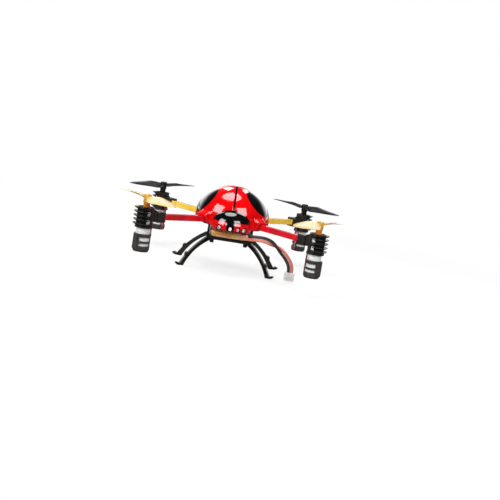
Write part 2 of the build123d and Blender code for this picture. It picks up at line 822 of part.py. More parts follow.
def make_leg(stretch):
    """The front right leg, stretched outward."""
    plane = leg_plane(stretch)

    def at(outward, height):
        return (outward * stretch, height)

    with BuildPart() as leg:
        with BuildSketch(plane):
            with BuildLine():
                upper = ThreePointArc(at(3.0, leg_top), at(10.5, 9.6), at(16.1, 1.35))
                instep = ThreePointArc(upper @ 1, at(16.6, 1.2), at(17.2, 1.45))
                toe = ThreePointArc(instep @ 1, at(18.1, 1.6), at(18.6, 0.9))
                toe_sole = ThreePointArc(toe @ 1, at(17.6, 0.25), at(sole[1], 0))
                bottom = Line(toe_sole @ 1, at(sole[0], 0))
                lower = ThreePointArc(bottom @ 1, at(8.8, 8.95), at(1.0, 15.1))
                Polyline(lower @ 1, (-0.9, 15.1), (-0.9, leg_top), upper @ 0)
            make_face()
            # low spur on the shin
            with BuildLine():
                Polyline(at(12.4, 6.6), at(12.9, 7.6), at(13.7, 6.9), at(13.9, 4.6), close=True)
            make_face()
        extrude(amount=leg_width / 2, both=True)
        # root knob, and the peg that plugs into the tray
        with BuildSketch(Plane.XY.offset(knob_bottom)):
            with Locations((leg_root[0], -leg_root[1])):
                Circle(knob_radius)
        extrude(amount=leg_top - knob_bottom)
        with BuildSketch(Plane.XY.offset(leg_top)):
            with Locations((leg_root[0], -leg_root[1])):
                Circle(leg_peg_radius)
        extrude(amount=tray_top - leg_top - 0.1)
        # channel in the flank, crossed by stiffening ribs
        with BuildSketch(plane.offset(leg_width / 2)):
            with BuildLine():
                rim_upper = ThreePointArc(at(3.2, 15.7), at(10.05, 9.35), at(15.0, 2.4))
                rim_lower = ThreePointArc(at(14.4, 1.6), at(9.3, 9.1), at(2.6, 14.9))
                Line(rim_upper @ 1, rim_lower @ 0)
                Line(rim_lower @ 1, rim_upper @ 0)
            make_face()
            with Locations(at(6.0, 12.6), at(9.2, 9.7), at(12.1, 6.0)):
                Rectangle(4, 0.5, rotation=45, mode=Mode.SUBTRACT)
        extrude(amount=leg_web - leg_width, mode=Mode.SUBTRACT)
    return leg.part


leg_front_right = make_leg(1)
leg_rear_pattern = make_leg(rear_stretch)
with BuildPart() as leg_front_left:
    mirror(leg_front_right, about=Plane.YZ)
with BuildPart() as leg_rear_right:
    mirror(leg_rear_pattern, about=Plane.XZ)
with BuildPart() as leg_rear_left:
    mirror(leg_rear_right.part, about=Plane.YZ)

for name, piece in {
    "leg_front_right": leg_front_right,
    "leg_front_left": leg_front_left.part,
    "leg_rear_right": leg_rear_right.part,
    "leg_rear_left": leg_rear_left.part,
}.items():
    piece.label = name
    export_step(piece, f"parts/{name}.step")

# ================================================================ battery
cell_front = -14.4
tape_front = -18.2
tape_half = 9.7
tape_wall = 0.2
tape_bottom = battery_floor + 0.4
tape_height = battery_height - 0.7
lead_exit = (5.0, 2.6)        # notch for the leads, across and along
board_size = (15.0, 2.4, 0.8)
board_centre = (-0.6, -16.2, 20.0)

with BuildPart() as battery_cell:
    with Locations((0, cell_front + battery_length / 2, battery_floor + battery_height / 2)):
        Box(battery_width, battery_length, battery_height)
    fillet(battery_cell.edges().filter_by(Axis.Y), 1.6)
    fillet(battery_cell.edges().group_by(Axis.Y)[0], 0.5)
    fillet(battery_cell.edges().group_by(Axis.Y)[-1], 0.5)

with BuildPart() as battery_tape:
    tape_length = cell_front - 0.05 - tape_front
    with Locations((0, tape_front + tape_length / 2, tape_bottom + tape_height / 2)):
        Box(2 * tape_half, tape_length, tape_height)
    fillet(battery_tape.edges().group_by(Axis.Y)[0], 0.35)
    inner_length = tape_length - tape_wall
    with Locations((0, tape_front + tape_wall + inner_length / 2, tape_bottom + tape_height / 2)):
        Box(
            2 * (tape_half - tape_wall),
            inner_length,
            tape_height - 2 * tape_wall,
            mode=Mode.SUBTRACT,
        )
    # the leads leave through the right end
    with Locations((tape_half, board_centre[1] - 0.2, tape_bottom + tape_height / 2)):
        Box(*lead_exit, tape_height + 1, mode=Mode.SUBTRACT)

with BuildPart() as battery_board:
    with Locations(board_centre):
        Box(*board_size)
    # two switching transistors
    with Locations((-4, board_centre[1], 20.8), (2, board_centre[1], 20.8)):
        Box(3.0, 1.6, 0.8)

battery_cell.part.label = "battery_cell"
export_step(battery_cell.part, "parts/battery_cell.step")
battery_tape.part.label = "battery_tape"
export_step(battery_tape.part, "parts/battery_tape.step")
battery_board.part.label = "battery_protection_board"
export_step(battery_board.part, "parts/battery_protection_board.step")

# ================================================================ battery leads and plug
plug_top = 5.7
plug_height = 4.4
plug_x = 34.1
plug_y = -19.0
lead_pitch = lead_dia + 0.1
twist_start = 0.40
twist_end = 0.66
stations = 14

with BuildLine() as lead_route:
    Spline(
        (7.4, -16.5, 20.05),
        (12.5, -17.6, 20.3),
        (18.0, plug_y, 20.6),
        (25.1, plug_y, 18.0),
        (31.2, plug_y, 12.9),
        (plug_x - 0.2, plug_y, 8.4),
        (plug_x, plug_y, 4.9),
        tangents=((1, -0.1, 0.05), (0, 0, -1)),
    )
route = lead_route.line


def lead_point(share, sense):
    """Centre of one lead at a share of the route. The pair crosses over once on its way."""
    twist = min(max((share - twist_start) / (twist_end - twist_start), 0), 1) * pi
    ahead = route % share
    across = Vector(-ahead.Z, 0, ahead.X).normalized()
    side = Vector(0, -1, 0)
    return (route @ share) + (across * cos(twist) + side * sin(twist)) * (sense * lead_pitch / 2)


def make_lead(sense):
    with BuildPart() as lead:
        with BuildLine():
            centre = Spline(*[lead_point(i / stations, sense) for i in range(stations + 1)])
        with BuildSketch(Plane(origin=centre @ 0, z_dir=centre % 0)):
            Circle(lead_dia / 2)
        sweep()
    return lead.part


battery_lead_black = make_lead(1)
battery_lead_red = make_lead(-1)

with BuildPart() as battery_plug:
    with Locations((plug_x, plug_y, plug_top - plug_height / 2)):
        Box(5.2, 3.4, plug_height)
    fillet(battery_plug.edges().filter_by(Axis.Z), 0.3)
    # polarising ridge, wire entries and contact sockets
    with Locations((plug_x, plug_y - 1.9, plug_top - plug_height / 2 - 0.4)):
        Box(1.6, 0.6, plug_height - 0.8)
    with BuildSketch(Plane.XY.offset(plug_top)):
        with Locations((plug_x - lead_pitch / 2, plug_y), (plug_x + lead_pitch / 2, plug_y)):
            Circle(lead_dia / 2 + 0.1)
    extrude(amount=-0.9, mode=Mode.SUBTRACT)
    with BuildSketch(Plane.XY.offset(plug_top - plug_height)):
        with Locations((plug_x - 1, plug_y), (plug_x + 1, plug_y)):
            Rectangle(0.9, 0.9)
    extrude(amount=2.6, mode=Mode.SUBTRACT)

battery_lead_black.label = "battery_lead_black"
export_step(battery_lead_black, "parts/battery_lead_black.step")
battery_lead_red.label = "battery_lead_red"
export_step(battery_lead_red, "parts/battery_lead_red.step")
battery_plug.part.label = "battery_plug"
export_step(battery_plug.part, "parts/battery_plug.step")
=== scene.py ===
"""Looks for a palm-size quadrotor with a domed canopy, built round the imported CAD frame.

Shapes are worked out in millimetres in the object's own frame (nose towards -Y, +Z up, origin
on the ground) and turned into metres when a piece is made.
"""
from functools import reduce
from math import atan, atan2, ceil, copysign, cos, exp, hypot, log, pi, radians, sin, sqrt

import bmesh
import bpy
from mathutils import Matrix, Vector


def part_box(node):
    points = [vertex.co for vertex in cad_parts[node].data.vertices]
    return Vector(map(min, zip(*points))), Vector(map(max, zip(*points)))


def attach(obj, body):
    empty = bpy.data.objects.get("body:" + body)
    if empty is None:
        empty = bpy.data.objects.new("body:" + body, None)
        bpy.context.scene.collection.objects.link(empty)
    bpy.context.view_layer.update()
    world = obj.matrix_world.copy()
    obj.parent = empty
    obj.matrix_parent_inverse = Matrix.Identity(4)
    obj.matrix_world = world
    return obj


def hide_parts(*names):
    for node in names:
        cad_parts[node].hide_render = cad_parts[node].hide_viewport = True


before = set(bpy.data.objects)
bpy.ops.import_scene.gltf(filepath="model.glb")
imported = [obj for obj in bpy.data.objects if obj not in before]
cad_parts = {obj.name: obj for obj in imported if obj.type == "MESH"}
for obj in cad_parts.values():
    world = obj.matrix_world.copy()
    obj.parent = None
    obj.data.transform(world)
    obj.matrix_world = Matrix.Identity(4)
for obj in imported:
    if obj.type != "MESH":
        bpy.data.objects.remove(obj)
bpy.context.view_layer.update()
scene = bpy.context.scene

MM = 0.001
MOTOR_AXIS = 42.5  # across and along, from the hub to each motor's axis


def box_mm(node):
    """Lowest and highest corner of a CAD node in millimetres."""
    low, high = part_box(node)
    return low / MM, high / MM


# ======== materials
def rgb(*values):
    """Linear colour from the usual 0 to 255 values."""
    shares = [value / 255 for value in values]
    return (*(s / 12.92 if s <= 0.04045 else ((s + 0.055) / 1.055) ** 2.4 for s in shares), 1)


def shade(colour, factor):
    return tuple(min(channel * factor, 1) for channel in colour[:3]) + (1,)


SIGNS = {"+": "ADD", "-": "SUBTRACT", "*": "MULTIPLY", "/": "DIVIDE"}


class Graph:
    """Short ways to build a shader's node tree."""

    def __init__(self, tree, output):
        self.tree = tree
        tree.nodes.clear()
        self.output = self.node(output)

    def feed(self, socket, value):
        if isinstance(value, bpy.types.NodeSocket):
            self.tree.links.new(value, socket)
        else:
            socket.default_value = value

    def node(self, kind, settings=None, **inputs):
        node = self.tree.nodes.new("ShaderNode" + kind)
        for key, value in (settings or {}).items():
            setattr(node, key, value)
        for key, value in inputs.items():
            self.feed(node.inputs[key.replace("_", " ")], value)
        return node

    def math(self, operation, *values):
        node = self.node("Math", {"operation": SIGNS.get(operation, operation)})
        for socket, value in zip(node.inputs, values):
            self.feed(socket, value)
        return node.outputs[0]

    def remap(self, value, low, high, to_low=0.0, to_high=1.0):
        node = self.node("MapRange", {"interpolation_type": "SMOOTHSTEP"})
        for socket, number in zip(node.inputs, (value, low, high, to_low, to_high)):
            self.feed(socket, number)
        return node.outputs[0]

    def both(self, *masks):
        return reduce(lambda a, b: self.math("*", a, b), masks)

    def mix_shader(self, share, low, high):
        node = self.node("MixShader")
        for socket, value in zip(node.inputs, (share, low, high)):
            self.feed(socket, value)
        return node.outputs[0]

    def end(self, shader):
        self.feed(self.output.inputs["Surface"], shader)


class Finish(Graph):
    """One procedural material. Its coordinates are millimetres in the object's own frame."""

    def __init__(self, name):
        self.material = bpy.data.materials.new(name)
        self.material.use_nodes = True
        super().__init__(self.material.node_tree, "OutputMaterial")
        metres = self.node("TexCoord").outputs["Object"]
        self.place = self.vector("SCALE", metres, scale=1 / MM)
        split = self.node("SeparateXYZ", Vector=self.place)
        self.x, self.y, self.z = split.outputs

    def vector(self, operation, *values, scale=None):
        node = self.node("VectorMath", {"operation": operation})
        for socket, value in zip(node.inputs, values):
            self.feed(socket, value)
        if scale is not None:
            self.feed(node.inputs["Scale"], scale)
        number = operation in ("DOT_PRODUCT", "LENGTH", "DISTANCE")
        return node.outputs["Value" if number else "Vector"]

    def noise(self, per_mm, detail, rough=0.5, stretch=None):
        place = self.place if stretch is None else self.vector("MULTIPLY", self.place, stretch)
        return self.node(
            "TexNoise", Vector=place, Scale=per_mm, Detail=detail, Roughness=rough
        ).outputs[0]

    def step(self, value, edge, width):
        """0 below an edge and 1 above it, with a soft width."""
        return self.remap(value, edge - width / 2, edge + width / 2)

    def either(self, *masks):
        return reduce(lambda a, b: self.math("MAXIMUM", a, b), masks)

    def vary(self, noise, to_low=0.0, to_high=1.0):
        """Runs from one value to another over the range that a noise mostly keeps to."""
        return self.remap(noise, 0.3, 0.7, to_low, to_high)

    def blend(self, share, low, high):
        node = self.node("Mix", {"data_type": "RGBA"})
        for index, value in zip((0, 6, 7), (share, low, high)):
            self.feed(node.inputs[index], value)
        return node.outputs[2]

    def bump(self, height, depth, normal=None):
        node = self.node("Bump", Height=height, Distance=depth * MM)
        if normal is not None:
            self.feed(node.inputs["Normal"], normal)
        return node.outputs[0]

    def edges(self, radius):
        """A normal that rounds edges off, and a mask of those edges."""
        normal = self.node("Bevel", {"samples": 6}, Radius=radius * MM).outputs[0]
        true_normal = self.node("NewGeometry").outputs["Normal"]
        match = self.vector("DOT_PRODUCT", normal, true_normal)
        return normal, self.remap(match, 0.995, 0.80)

    def principled(self, **inputs):
        return self.node("BsdfPrincipled", **inputs).outputs[0]

    def surface(self, shader=None, **inputs):
        """Ends the material with a shader, or with a principled one of these inputs."""
        self.end(shader or self.principled(**inputs))
        return self.material


def moulded(name, colour, roughness, edge=0.15, gloss=0.0, shine=0.5, deep=0.7):
    """Moulded plastic: fine eroded grain, faint flow marks, edges rubbed smooth and painted lighter
    as a highlight, painted shade in its hollows.
    """
    f = Finish(name)
    normal, edge_wear_and_highlight = f.edges(edge)
    fine = f.noise(5.0, 3)
    flow = f.noise(0.28, 4, 0.6, stretch=(1.0, 1.0, 2.2))
    tone = f.blend(f.vary(flow), shade(colour, 0.8), shade(colour, 1.25))
    # painted shade: the colour darkens towards the factor deep in hollows found by ambient
    # occlusion
    open_share = f.node("AmbientOcclusion", {"samples": 6}, Distance=1.4 * MM).outputs["AO"]
    painted_hollow_shade = f.remap(open_share, 0.95, 0.45)
    tone = f.blend(painted_hollow_shade, tone, shade(colour, deep))
    # painted highlight: edges painted much lighter; their smoother roughness below is real wear
    tone = f.blend(f.math("*", edge_wear_and_highlight, 0.5), tone, shade(colour, 2.6))
    rough = f.remap(f.math("+", flow, f.math("*", fine, 0.5)), 0.4, 1.1,
                    roughness - 0.08, roughness + 0.12)
    rough = f.math("-", rough, f.math("*", edge_wear_and_highlight, 0.12))
    return f.surface(
        Base_Color=tone, Roughness=rough, Normal=f.bump(fine, 0.010, normal),
        Coat_Weight=gloss, Coat_Roughness=0.08, Specular_IOR_Level=shine,
    )


def glossy(name, colour, deep):
    """Smooth bright plastic with a slight orange peel, a slowly drifting tone and a painted
    highlight on its edges.
    """
    f = Finish(name)
    normal, edge_wear_and_highlight = f.edges(0.18)
    peel = f.noise(0.9, 2)
    drift = f.noise(0.12, 3)
    dust = f.step(f.noise(7.0, 4, 0.7), 0.67, 0.06)
    tone = f.blend(f.vary(drift), deep, colour)
    # painted highlight: edges painted lighter
    tone = f.blend(f.math("*", edge_wear_and_highlight, 0.3), tone, shade(colour, 1.25))
    rough = f.math("+", 0.16, f.math("*", dust, 0.12))
    return f.surface(
        Base_Color=tone, Roughness=rough, Normal=f.bump(peel, 0.012, normal),
        Coat_Weight=0.5, Coat_Roughness=0.05,
    )


DOME_CENTRE = 27.5  # height where the dome's wall turns upright
DOME_RADIUS = 20.0
DOME_RISE = 17.1
# direction of each black spot's middle in the dome scaled to a unit sphere, and its radius
SPOTS = (
    ((-0.83, -0.20, 0.52), 28.0),
    ((0.70, -0.30, 0.65), 28.0),
    ((-0.66, 0.56, 0.50), 21.0),
    ((0.62, 0.60, 0.50), 21.0),
)
# place across and along, and half sizes, of the two white lozenges near the top
LOZENGES = ((-4.3, -6.3, 2.9, 2.7), (4.7, -6.3, 1.9, 2.7))
LINE_FOOT, LINE_TOP = 32.0, 44.0  # the centre line widens between these heights
LOZENGE_FLOOR = 34.0


def canopy_paint():
    """Red gloss with round black spots, a dark centre line and two plain white lozenges."""
    f = Finish("canopy_red_gloss")
    offset = f.vector("SUBTRACT", f.place, (0, 0, DOME_CENTRE))
    scaled = f.vector("DIVIDE", offset, (DOME_RADIUS, DOME_RADIUS, DOME_RISE))
    direction = f.vector("NORMALIZE", scaled)
    spots = []
    for middle, radius in SPOTS:
        match = f.vector("DOT_PRODUCT", direction, tuple(Vector(middle).normalized()))
        spots.append(f.step(match, cos(radians(radius)), 0.006))
    half = f.remap(f.z, LINE_FOOT, LINE_TOP, 0.38, 0.5)
    beside = f.math("-", f.math("ABSOLUTE", f.x), half)
    line = f.math("-", 1.0, f.step(beside, 0, 0.12))
    ink = f.either(line, *spots)
    marks = []
    for x, y, half_x, half_y in LOZENGES:
        across = f.math("/", f.math("ABSOLUTE", f.math("-", f.x, x)), half_x)
        along = f.math("/", f.math("ABSOLUTE", f.math("-", f.y, y)), half_y)
        inside = f.math("-", 1.0, f.step(f.math("+", across, along), 1.0, 0.06))
        marks.append(f.both(inside, f.step(f.z, LOZENGE_FLOOR, 0.2)))
    white = f.either(*marks)
    drift = f.noise(0.09, 3)
    red = f.blend(f.vary(drift), rgb(206, 2, 6), rgb(222, 3, 8))
    tone = f.blend(ink, red, rgb(8, 5, 6))
    tone = f.blend(line, tone, rgb(46, 4, 12))
    tone = f.blend(white, tone, rgb(245, 243, 240))
    # the print stands a hair above the plastic, which has a faint orange peel and fine scuffs
    scuff = f.noise(3.0, 5, 0.7, stretch=(1.0, 0.25, 1.0))
    peel = f.math("+", f.noise(0.5, 2), f.math("*", f.either(ink, white), 0.8))
    rough = f.remap(scuff, 0.35, 0.75, 0.05, 0.16)
    rough = f.math("+", rough, f.math("*", line, 0.5))
    open_paint = f.math("-", 1.0, line)
    return f.surface(
        Base_Color=tone, Roughness=rough, Normal=f.bump(peel, 0.010),
        Coat_Weight=f.math("*", open_paint, 0.35), Coat_Roughness=0.02,
        Specular_IOR_Level=f.math("*", open_paint, 0.5),
    )


def face_paint():
    """Black gloss brow and centre tongue over red lower corners."""
    f = Finish("face_black_gloss")
    brow = f.step(f.z, BROW_BOTTOM, 0.15)
    # the tongue widens upward
    half = f.remap(f.z, NOSE_RIM, BROW_BOTTOM, TONGUE_HALF, TONGUE_HALF + TONGUE_FLARE)
    off = f.math("ABSOLUTE", f.math("-", f.x, TONGUE_X))
    tongue = f.math("-", 1.0, f.step(f.math("-", off, half), 0, 0.15))
    black = f.either(brow, tongue)
    flank = f.step(f.y, FLANK_START, 0.4)
    peel = f.noise(0.6, 2)
    smudge = f.noise(0.35, 4, 0.65)
    tone = f.blend(f.either(black, flank), rgb(206, 6, 20), rgb(6, 6, 7))
    rough = f.remap(smudge, 0.35, 0.7, 0.04, 0.12)
    return f.surface(
        Base_Color=tone, Roughness=rough, Normal=f.bump(peel, 0.008),
        Coat_Weight=0.5, Coat_Roughness=0.02,
    )


def clear_lens(name, tint, roughness=0.02):
    """Clear epoxy with the faint haze and swirl of a cast part."""
    f = Finish(name)
    swirl = f.noise(0.8, 2)
    return f.surface(
        Base_Color=f.blend(swirl, tint, shade(tint, 0.85)), IOR=1.6, Coat_Weight=1.0,
        Roughness=f.vary(f.noise(2.0, 3), roughness, roughness + 0.05),
        Transmission_Weight=0.92, Normal=f.bump(swirl, 0.01),
    )


def painted_glint_frame():
    """Bright lead frame of a light, speckled by its plating, with a faint glow that paints in
    bright glints.
    """
    f = Finish("lead_frame_painted_glint")
    speckle = f.noise(3.0, 3)
    return f.surface(
        Base_Color=f.blend(speckle, rgb(240, 238, 232), rgb(214, 210, 202)), Metallic=0.6,
        Roughness=f.vary(speckle, 0.2, 0.32), Normal=f.bump(speckle, 0.01),
        # painted glint: the faint glow stands in for bright reflections on the posts
        Emission_Color=f.blend(speckle, rgb(255, 255, 255), rgb(236, 240, 248)),
        Emission_Strength=0.8,
    )


def metal(name, colour, roughness, turned=True, polish=1.0):
    """Metal with fine tool marks round its axis, faint stains and edges painted brighter as a
    highlight.
    A low polish stands for a frosted plating that scatters most of the light."""
    f = Finish(name)
    normal, edge_wear_and_highlight = f.edges(0.10)
    stretch = (0.15, 0.15, 9.0) if turned else (1.0, 1.0, 1.0)
    marks = f.noise(2.2, 3, 0.6, stretch=stretch)
    stain = f.noise(0.5, 4, 0.6)
    tone = f.blend(f.remap(stain, 0.35, 0.7), shade(colour, 0.88), colour)
    # painted highlight: edges painted brighter
    tone = f.blend(f.math("*", edge_wear_and_highlight, 0.5), tone, shade(colour, 1.3))
    rough = f.remap(f.math("+", marks, stain), 0.7, 1.3, roughness - 0.08, roughness + 0.12)
    return f.surface(
        Base_Color=tone, Metallic=polish, Roughness=rough, Normal=f.bump(marks, 0.006, normal),
    )


def silicone(name, colour, glow=0.15):
    """Soft wire insulation: satin, slightly translucent, dusted."""
    f = Finish(name)
    dust = f.noise(1.6, 5, 0.7)
    strands = f.noise(0.8, 2, stretch=(0.6, 2.0, 2.0))
    tone = f.blend(f.remap(dust, 0.4, 0.75), colour, shade(colour, 1.35))
    return f.surface(
        Base_Color=tone, Roughness=f.remap(dust, 0.3, 0.8, 0.34, 0.6),
        Subsurface_Weight=glow, Subsurface_Radius=(0.9, 0.4, 0.3), Subsurface_Scale=0.4 * MM,
        Normal=f.bump(strands, 0.03),
    )


def propeller_plastic(name, blade, hub, stem, roughness, light_through):
    """Thin moulded blade: its colour deepens in the hub, and light passes through the blade."""
    f = Finish(name)
    fine = f.noise(2.5, 3)
    cloud = f.noise(0.2, 3)
    tone = f.blend(f.vary(cloud), shade(blade, 0.9), blade)
    # thick near any of the four motor axes
    across = f.vector("MULTIPLY", f.vector("ABSOLUTE", f.place), (1, 1, 0))
    away = f.vector("DISTANCE", across, (MOTOR_AXIS, MOTOR_AXIS, 0))
    tone = f.blend(f.remap(away, 4.5, 2.0), tone, hub)
    tone = f.blend(f.step(f.z, HUB_NECK, 0.3), stem, tone)
    skin = f.principled(
        Base_Color=tone, Roughness=f.vary(fine, roughness - 0.05, roughness + 0.08),
        Normal=f.bump(f.math("+", fine, cloud), 0.012),
        Coat_Weight=0.4, Coat_Roughness=0.06,
    )
    through = f.node("BsdfTranslucent", Color=tone).outputs[0]
    return f.surface(f.mix_shader(light_through, skin, through))


def circuit_board(name):
    """Green solder mask over copper tracks, with plated holes."""
    f = Finish(name)
    tracks = f.node(
        "TexBrick", {"offset": 0.5, "offset_frequency": 2}, Vector=f.place, Scale=1.0,
        Mortar_Size=0.05, Mortar_Smooth=0.1, Brick_Width=2.6, Row_Height=0.42,
    ).outputs["Fac"]
    kept = f.step(f.noise(0.33, 1), 0.47, 0.02)
    track = f.both(tracks, kept)
    hole = f.node("TexVoronoi", Vector=f.place, Scale=0.42).outputs[0]
    ring = f.both(f.step(f.math("-", 0.085, hole), 0, 0.01), f.step(hole, 0.04, 0.01))
    mask = f.blend(f.noise(0.4, 3), rgb(8, 70, 30), rgb(16, 96, 46))
    tone = f.blend(track, mask, rgb(38, 132, 66))
    tone = f.blend(ring, tone, rgb(200, 196, 180))
    height = f.math("+", track, f.math("*", ring, 1.5))
    return f.surface(
        Base_Color=tone, Metallic=f.math("*", ring, 0.9),
        Roughness=f.vary(f.noise(1.5, 3), 0.22, 0.38), Normal=f.bump(height, 0.03),
        Coat_Weight=0.3,
    )


def chip_epoxy(name):
    """Black moulding compound with a fine granular surface and a painted highlight of light grey on
    its edges.
    """
    f = Finish(name)
    normal, edge_wear_and_highlight = f.edges(0.06)
    grain = f.noise(11.0, 3, 0.7)
    tone = f.blend(grain, rgb(26, 26, 28), rgb(48, 48, 50))
    # painted highlight: edges painted light grey
    tone = f.blend(f.math("*", edge_wear_and_highlight, 0.4), tone, rgb(90, 90, 92))
    return f.surface(
        Base_Color=tone, Roughness=f.vary(grain, 0.45, 0.62),
        Normal=f.bump(grain, 0.015, normal),
    )


def capacitor_ceramic():
    """Tan ceramic chips with a slightly glassy, speckled surface and a painted highlight of pale
    silver on their edges.
    """
    f = Finish("capacitor_tan_ceramic")
    normal, edge_wear_and_highlight = f.edges(0.08)
    speckle = f.noise(8.0, 4, 0.7)
    tone = f.blend(f.remap(speckle, 0.35, 0.65), rgb(150, 118, 82), rgb(190, 156, 112))
    # painted highlight: edges painted pale silver and partly metallic
    tone = f.blend(edge_wear_and_highlight, tone, rgb(206, 204, 198))
    return f.surface(
        Base_Color=tone, Roughness=0.42, Metallic=f.math("*", edge_wear_and_highlight, 0.7),
        Normal=f.bump(speckle, 0.01, normal),
    )


def winding():
    """Enamelled copper wire wound round the motor's axis, with painted shade in the groove between
    turns and a painted highlight on each crown.
    """
    f = Finish("winding_copper_wire")
    wire = 0.16
    turn_ridges_and_shade = f.math("SINE", f.math("*", f.z, 2 * pi / wire))
    varnish = f.noise(1.2, 3)
    # painted shade and highlight: each turn dark in its groove and bright on its crown
    tone = f.blend(f.remap(turn_ridges_and_shade, -1, 1), rgb(110, 48, 20), rgb(214, 122, 66))
    tone = f.blend(f.math("*", varnish, 0.4), tone, rgb(150, 70, 30))
    return f.surface(
        Base_Color=tone, Metallic=0.9, Roughness=f.vary(varnish, 0.22, 0.4),
        Normal=f.bump(turn_ridges_and_shade, 0.04),
    )


def pouch_foil():
    """Aluminium laminate of a pouch cell: dull silver, pressed wrinkles, faint scratches."""
    f = Finish("battery_foil_laminate")
    crease = f.noise(0.35, 4, 0.62, stretch=(1.0, 0.5, 1.0))
    scratch = f.noise(2.0, 4, 0.75, stretch=(1.0, 0.12, 1.0))
    tone = f.blend(f.remap(crease, 0.35, 0.65), rgb(196, 199, 205), rgb(232, 233, 236))
    return f.surface(
        Base_Color=tone, Metallic=0.7, Roughness=f.vary(scratch, 0.26, 0.44),
        Normal=f.bump(f.math("+", crease, f.math("*", scratch, 0.15)), 0.16),
    )


def tape_film():
    """Amber tape wrapped round the cell's end: lap lines, pressed creases, glossy film."""
    f = Finish("tape_amber_film")
    crease = f.noise(0.55, 4, 0.6, stretch=(1.0, 1.6, 2.4))
    cloud = f.noise(0.16, 2)
    # the laps slope a little
    level = f.math("+", f.z, f.math("*", f.x, 0.06))
    lap = f.step(f.math("SINE", f.math("*", level, 4.6)), 0.4, 0.3)
    tone = f.blend(f.remap(cloud, 0.35, 0.65), rgb(234, 156, 92), rgb(248, 198, 116))
    tone = f.blend(f.math("*", lap, 0.35), tone, rgb(196, 110, 62))
    # pinker towards the leads
    tone = f.blend(f.remap(f.x, 1.0, 7.5, 0.0, 0.7), tone, rgb(230, 166, 146))
    # paler towards the bottom
    tone = f.blend(f.remap(f.z, 19.6, 18.5, 0.0, 0.5), tone, rgb(236, 206, 174))
    height = f.math("+", crease, f.math("*", lap, 0.35))
    return f.surface(
        Base_Color=tone, Roughness=f.vary(crease, 0.22, 0.42),
        Subsurface_Weight=0.25, Subsurface_Radius=(1.0, 0.5, 0.2), Subsurface_Scale=0.6 * MM,
        Normal=f.bump(height, 0.14), Coat_Weight=0.4, Coat_Roughness=0.12,
    )


# ======== mesh helpers
def add(name, data):
    """A new object in the scene."""
    thing = bpy.data.objects.new(name, data)
    scene.collection.objects.link(thing)
    return thing


def mesh_piece(name, vertices, faces):
    """A piece from millimetre vertices, its faces turned outward."""
    mesh = bpy.data.meshes.new(name)
    mesh.from_pydata([Vector(v) * MM for v in vertices], [], faces)
    work = bmesh.new()
    work.from_mesh(mesh)
    bmesh.ops.remove_doubles(work, verts=work.verts, dist=1e-8)
    bmesh.ops.recalc_face_normals(work, faces=work.faces)
    if any(edge.is_boundary for edge in work.edges):
        # an open skin faces away from its own middle
        middle = sum((vertex.co for vertex in work.verts), Vector()) / len(work.verts)
        work.normal_update()
        outward = sum(face.normal.dot(face.calc_center_median() - middle) for face in work.faces)
        if outward < 0:
            bmesh.ops.reverse_faces(work, faces=work.faces)
    work.to_mesh(mesh)
    work.free()
    return add(name, mesh)


def apply_modifiers(piece):
    graph = bpy.context.evaluated_depsgraph_get()
    mesh = bpy.data.meshes.new_from_object(piece.evaluated_get(graph))
    piece.modifiers.clear()
    piece.data = mesh


def combine(piece, other, operation="DIFFERENCE"):
    """Boolean of two closed pieces; the second one is used up."""
    modifier = piece.modifiers.new(operation.lower(), "BOOLEAN")
    modifier.operation = operation
    modifier.solver = "MANIFOLD"
    modifier.object = other
    apply_modifiers(piece)
    bpy.data.objects.remove(other)


def coat(piece, material):
    piece.data.materials.clear()
    piece.data.materials.append(material)


def dress(piece, material, body, replaces=(), sharp=35):
    """Gives a piece its material and shading, and places it on its body."""
    coat(piece, material)
    for polygon in piece.data.polygons:
        polygon.use_smooth = True
    piece.data.set_sharp_from_angle(angle=radians(sharp))
    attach(piece, body)
    if replaces:
        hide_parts(*replaces)


def grid_faces(rows, columns, wrap=False, start=0):
    """Quads of a grid stored row by row, closed round its columns if asked."""
    faces = []
    for row in range(rows - 1):
        for column in range(columns if wrap else columns - 1):
            after = (column + 1) % columns
            a = start + row * columns
            b = a + columns
            faces.append((a + column, a + after, b + after, b + column))
    return faces


def lathe(profile, segments, centre=(0, 0)):
    """Vertices and faces of a profile of (radius, height) turned about an upright axis."""
    vertices = []
    for radius, height in profile:
        for k in range(segments):
            a = 2 * pi * k / segments
            vertices.append((centre[0] + radius * cos(a), centre[1] + radius * sin(a), height))
    faces = grid_faces(len(profile), segments, wrap=True)
    return vertices, faces


def loft(sections):
    """Closed skin through rings of equal length, with both ends capped."""
    count = len(sections[0])
    vertices = [point for section in sections for point in section]
    faces = grid_faces(len(sections), count, wrap=True)
    last = (len(sections) - 1) * count
    faces.append(tuple(range(count)))
    faces.append(tuple(range(last, last + count)))
    return vertices, faces


def rectangle(left, right, near, far):
    return [(left, near), (right, near), (right, far), (left, far)]


def prism(outline, low, high):
    """Closed prism of a flat outline between two heights."""
    return loft([[(x, y, z) for x, y in outline] for z in (low, high)])


def merge(*parts):
    """Several vertex and face lists as one."""
    vertices, faces = [], []
    for more_vertices, more_faces in parts:
        start = len(vertices)
        vertices += list(more_vertices)
        faces += [tuple(index + start for index in face) for face in more_faces]
    return vertices, faces


def moved(part, matrix):
    vertices, faces = part
    return [matrix @ Vector(v) for v in vertices], faces


def smooth_value(stations, at):
    """Value at a place on the smooth curve through (place, value) stations."""
    last = len(stations) - 1

    def slope(index):
        before, after = stations[max(index - 1, 0)], stations[min(index + 1, last)]
        return (after[1] - before[1]) / (after[0] - before[0])

    i = max([j for j in range(last) if stations[j][0] <= at], default=0)
    (place, value), (next_place, next_value) = stations[i:i + 2]
    step = next_place - place
    t = (at - place) / step
    return (
        (1 + 2 * t) * (1 - t) ** 2 * value + t * (1 - t) ** 2 * step * slope(i)
        + t * t * (3 - 2 * t) * next_value + t * t * (t - 1) * step * slope(i + 1)
    )


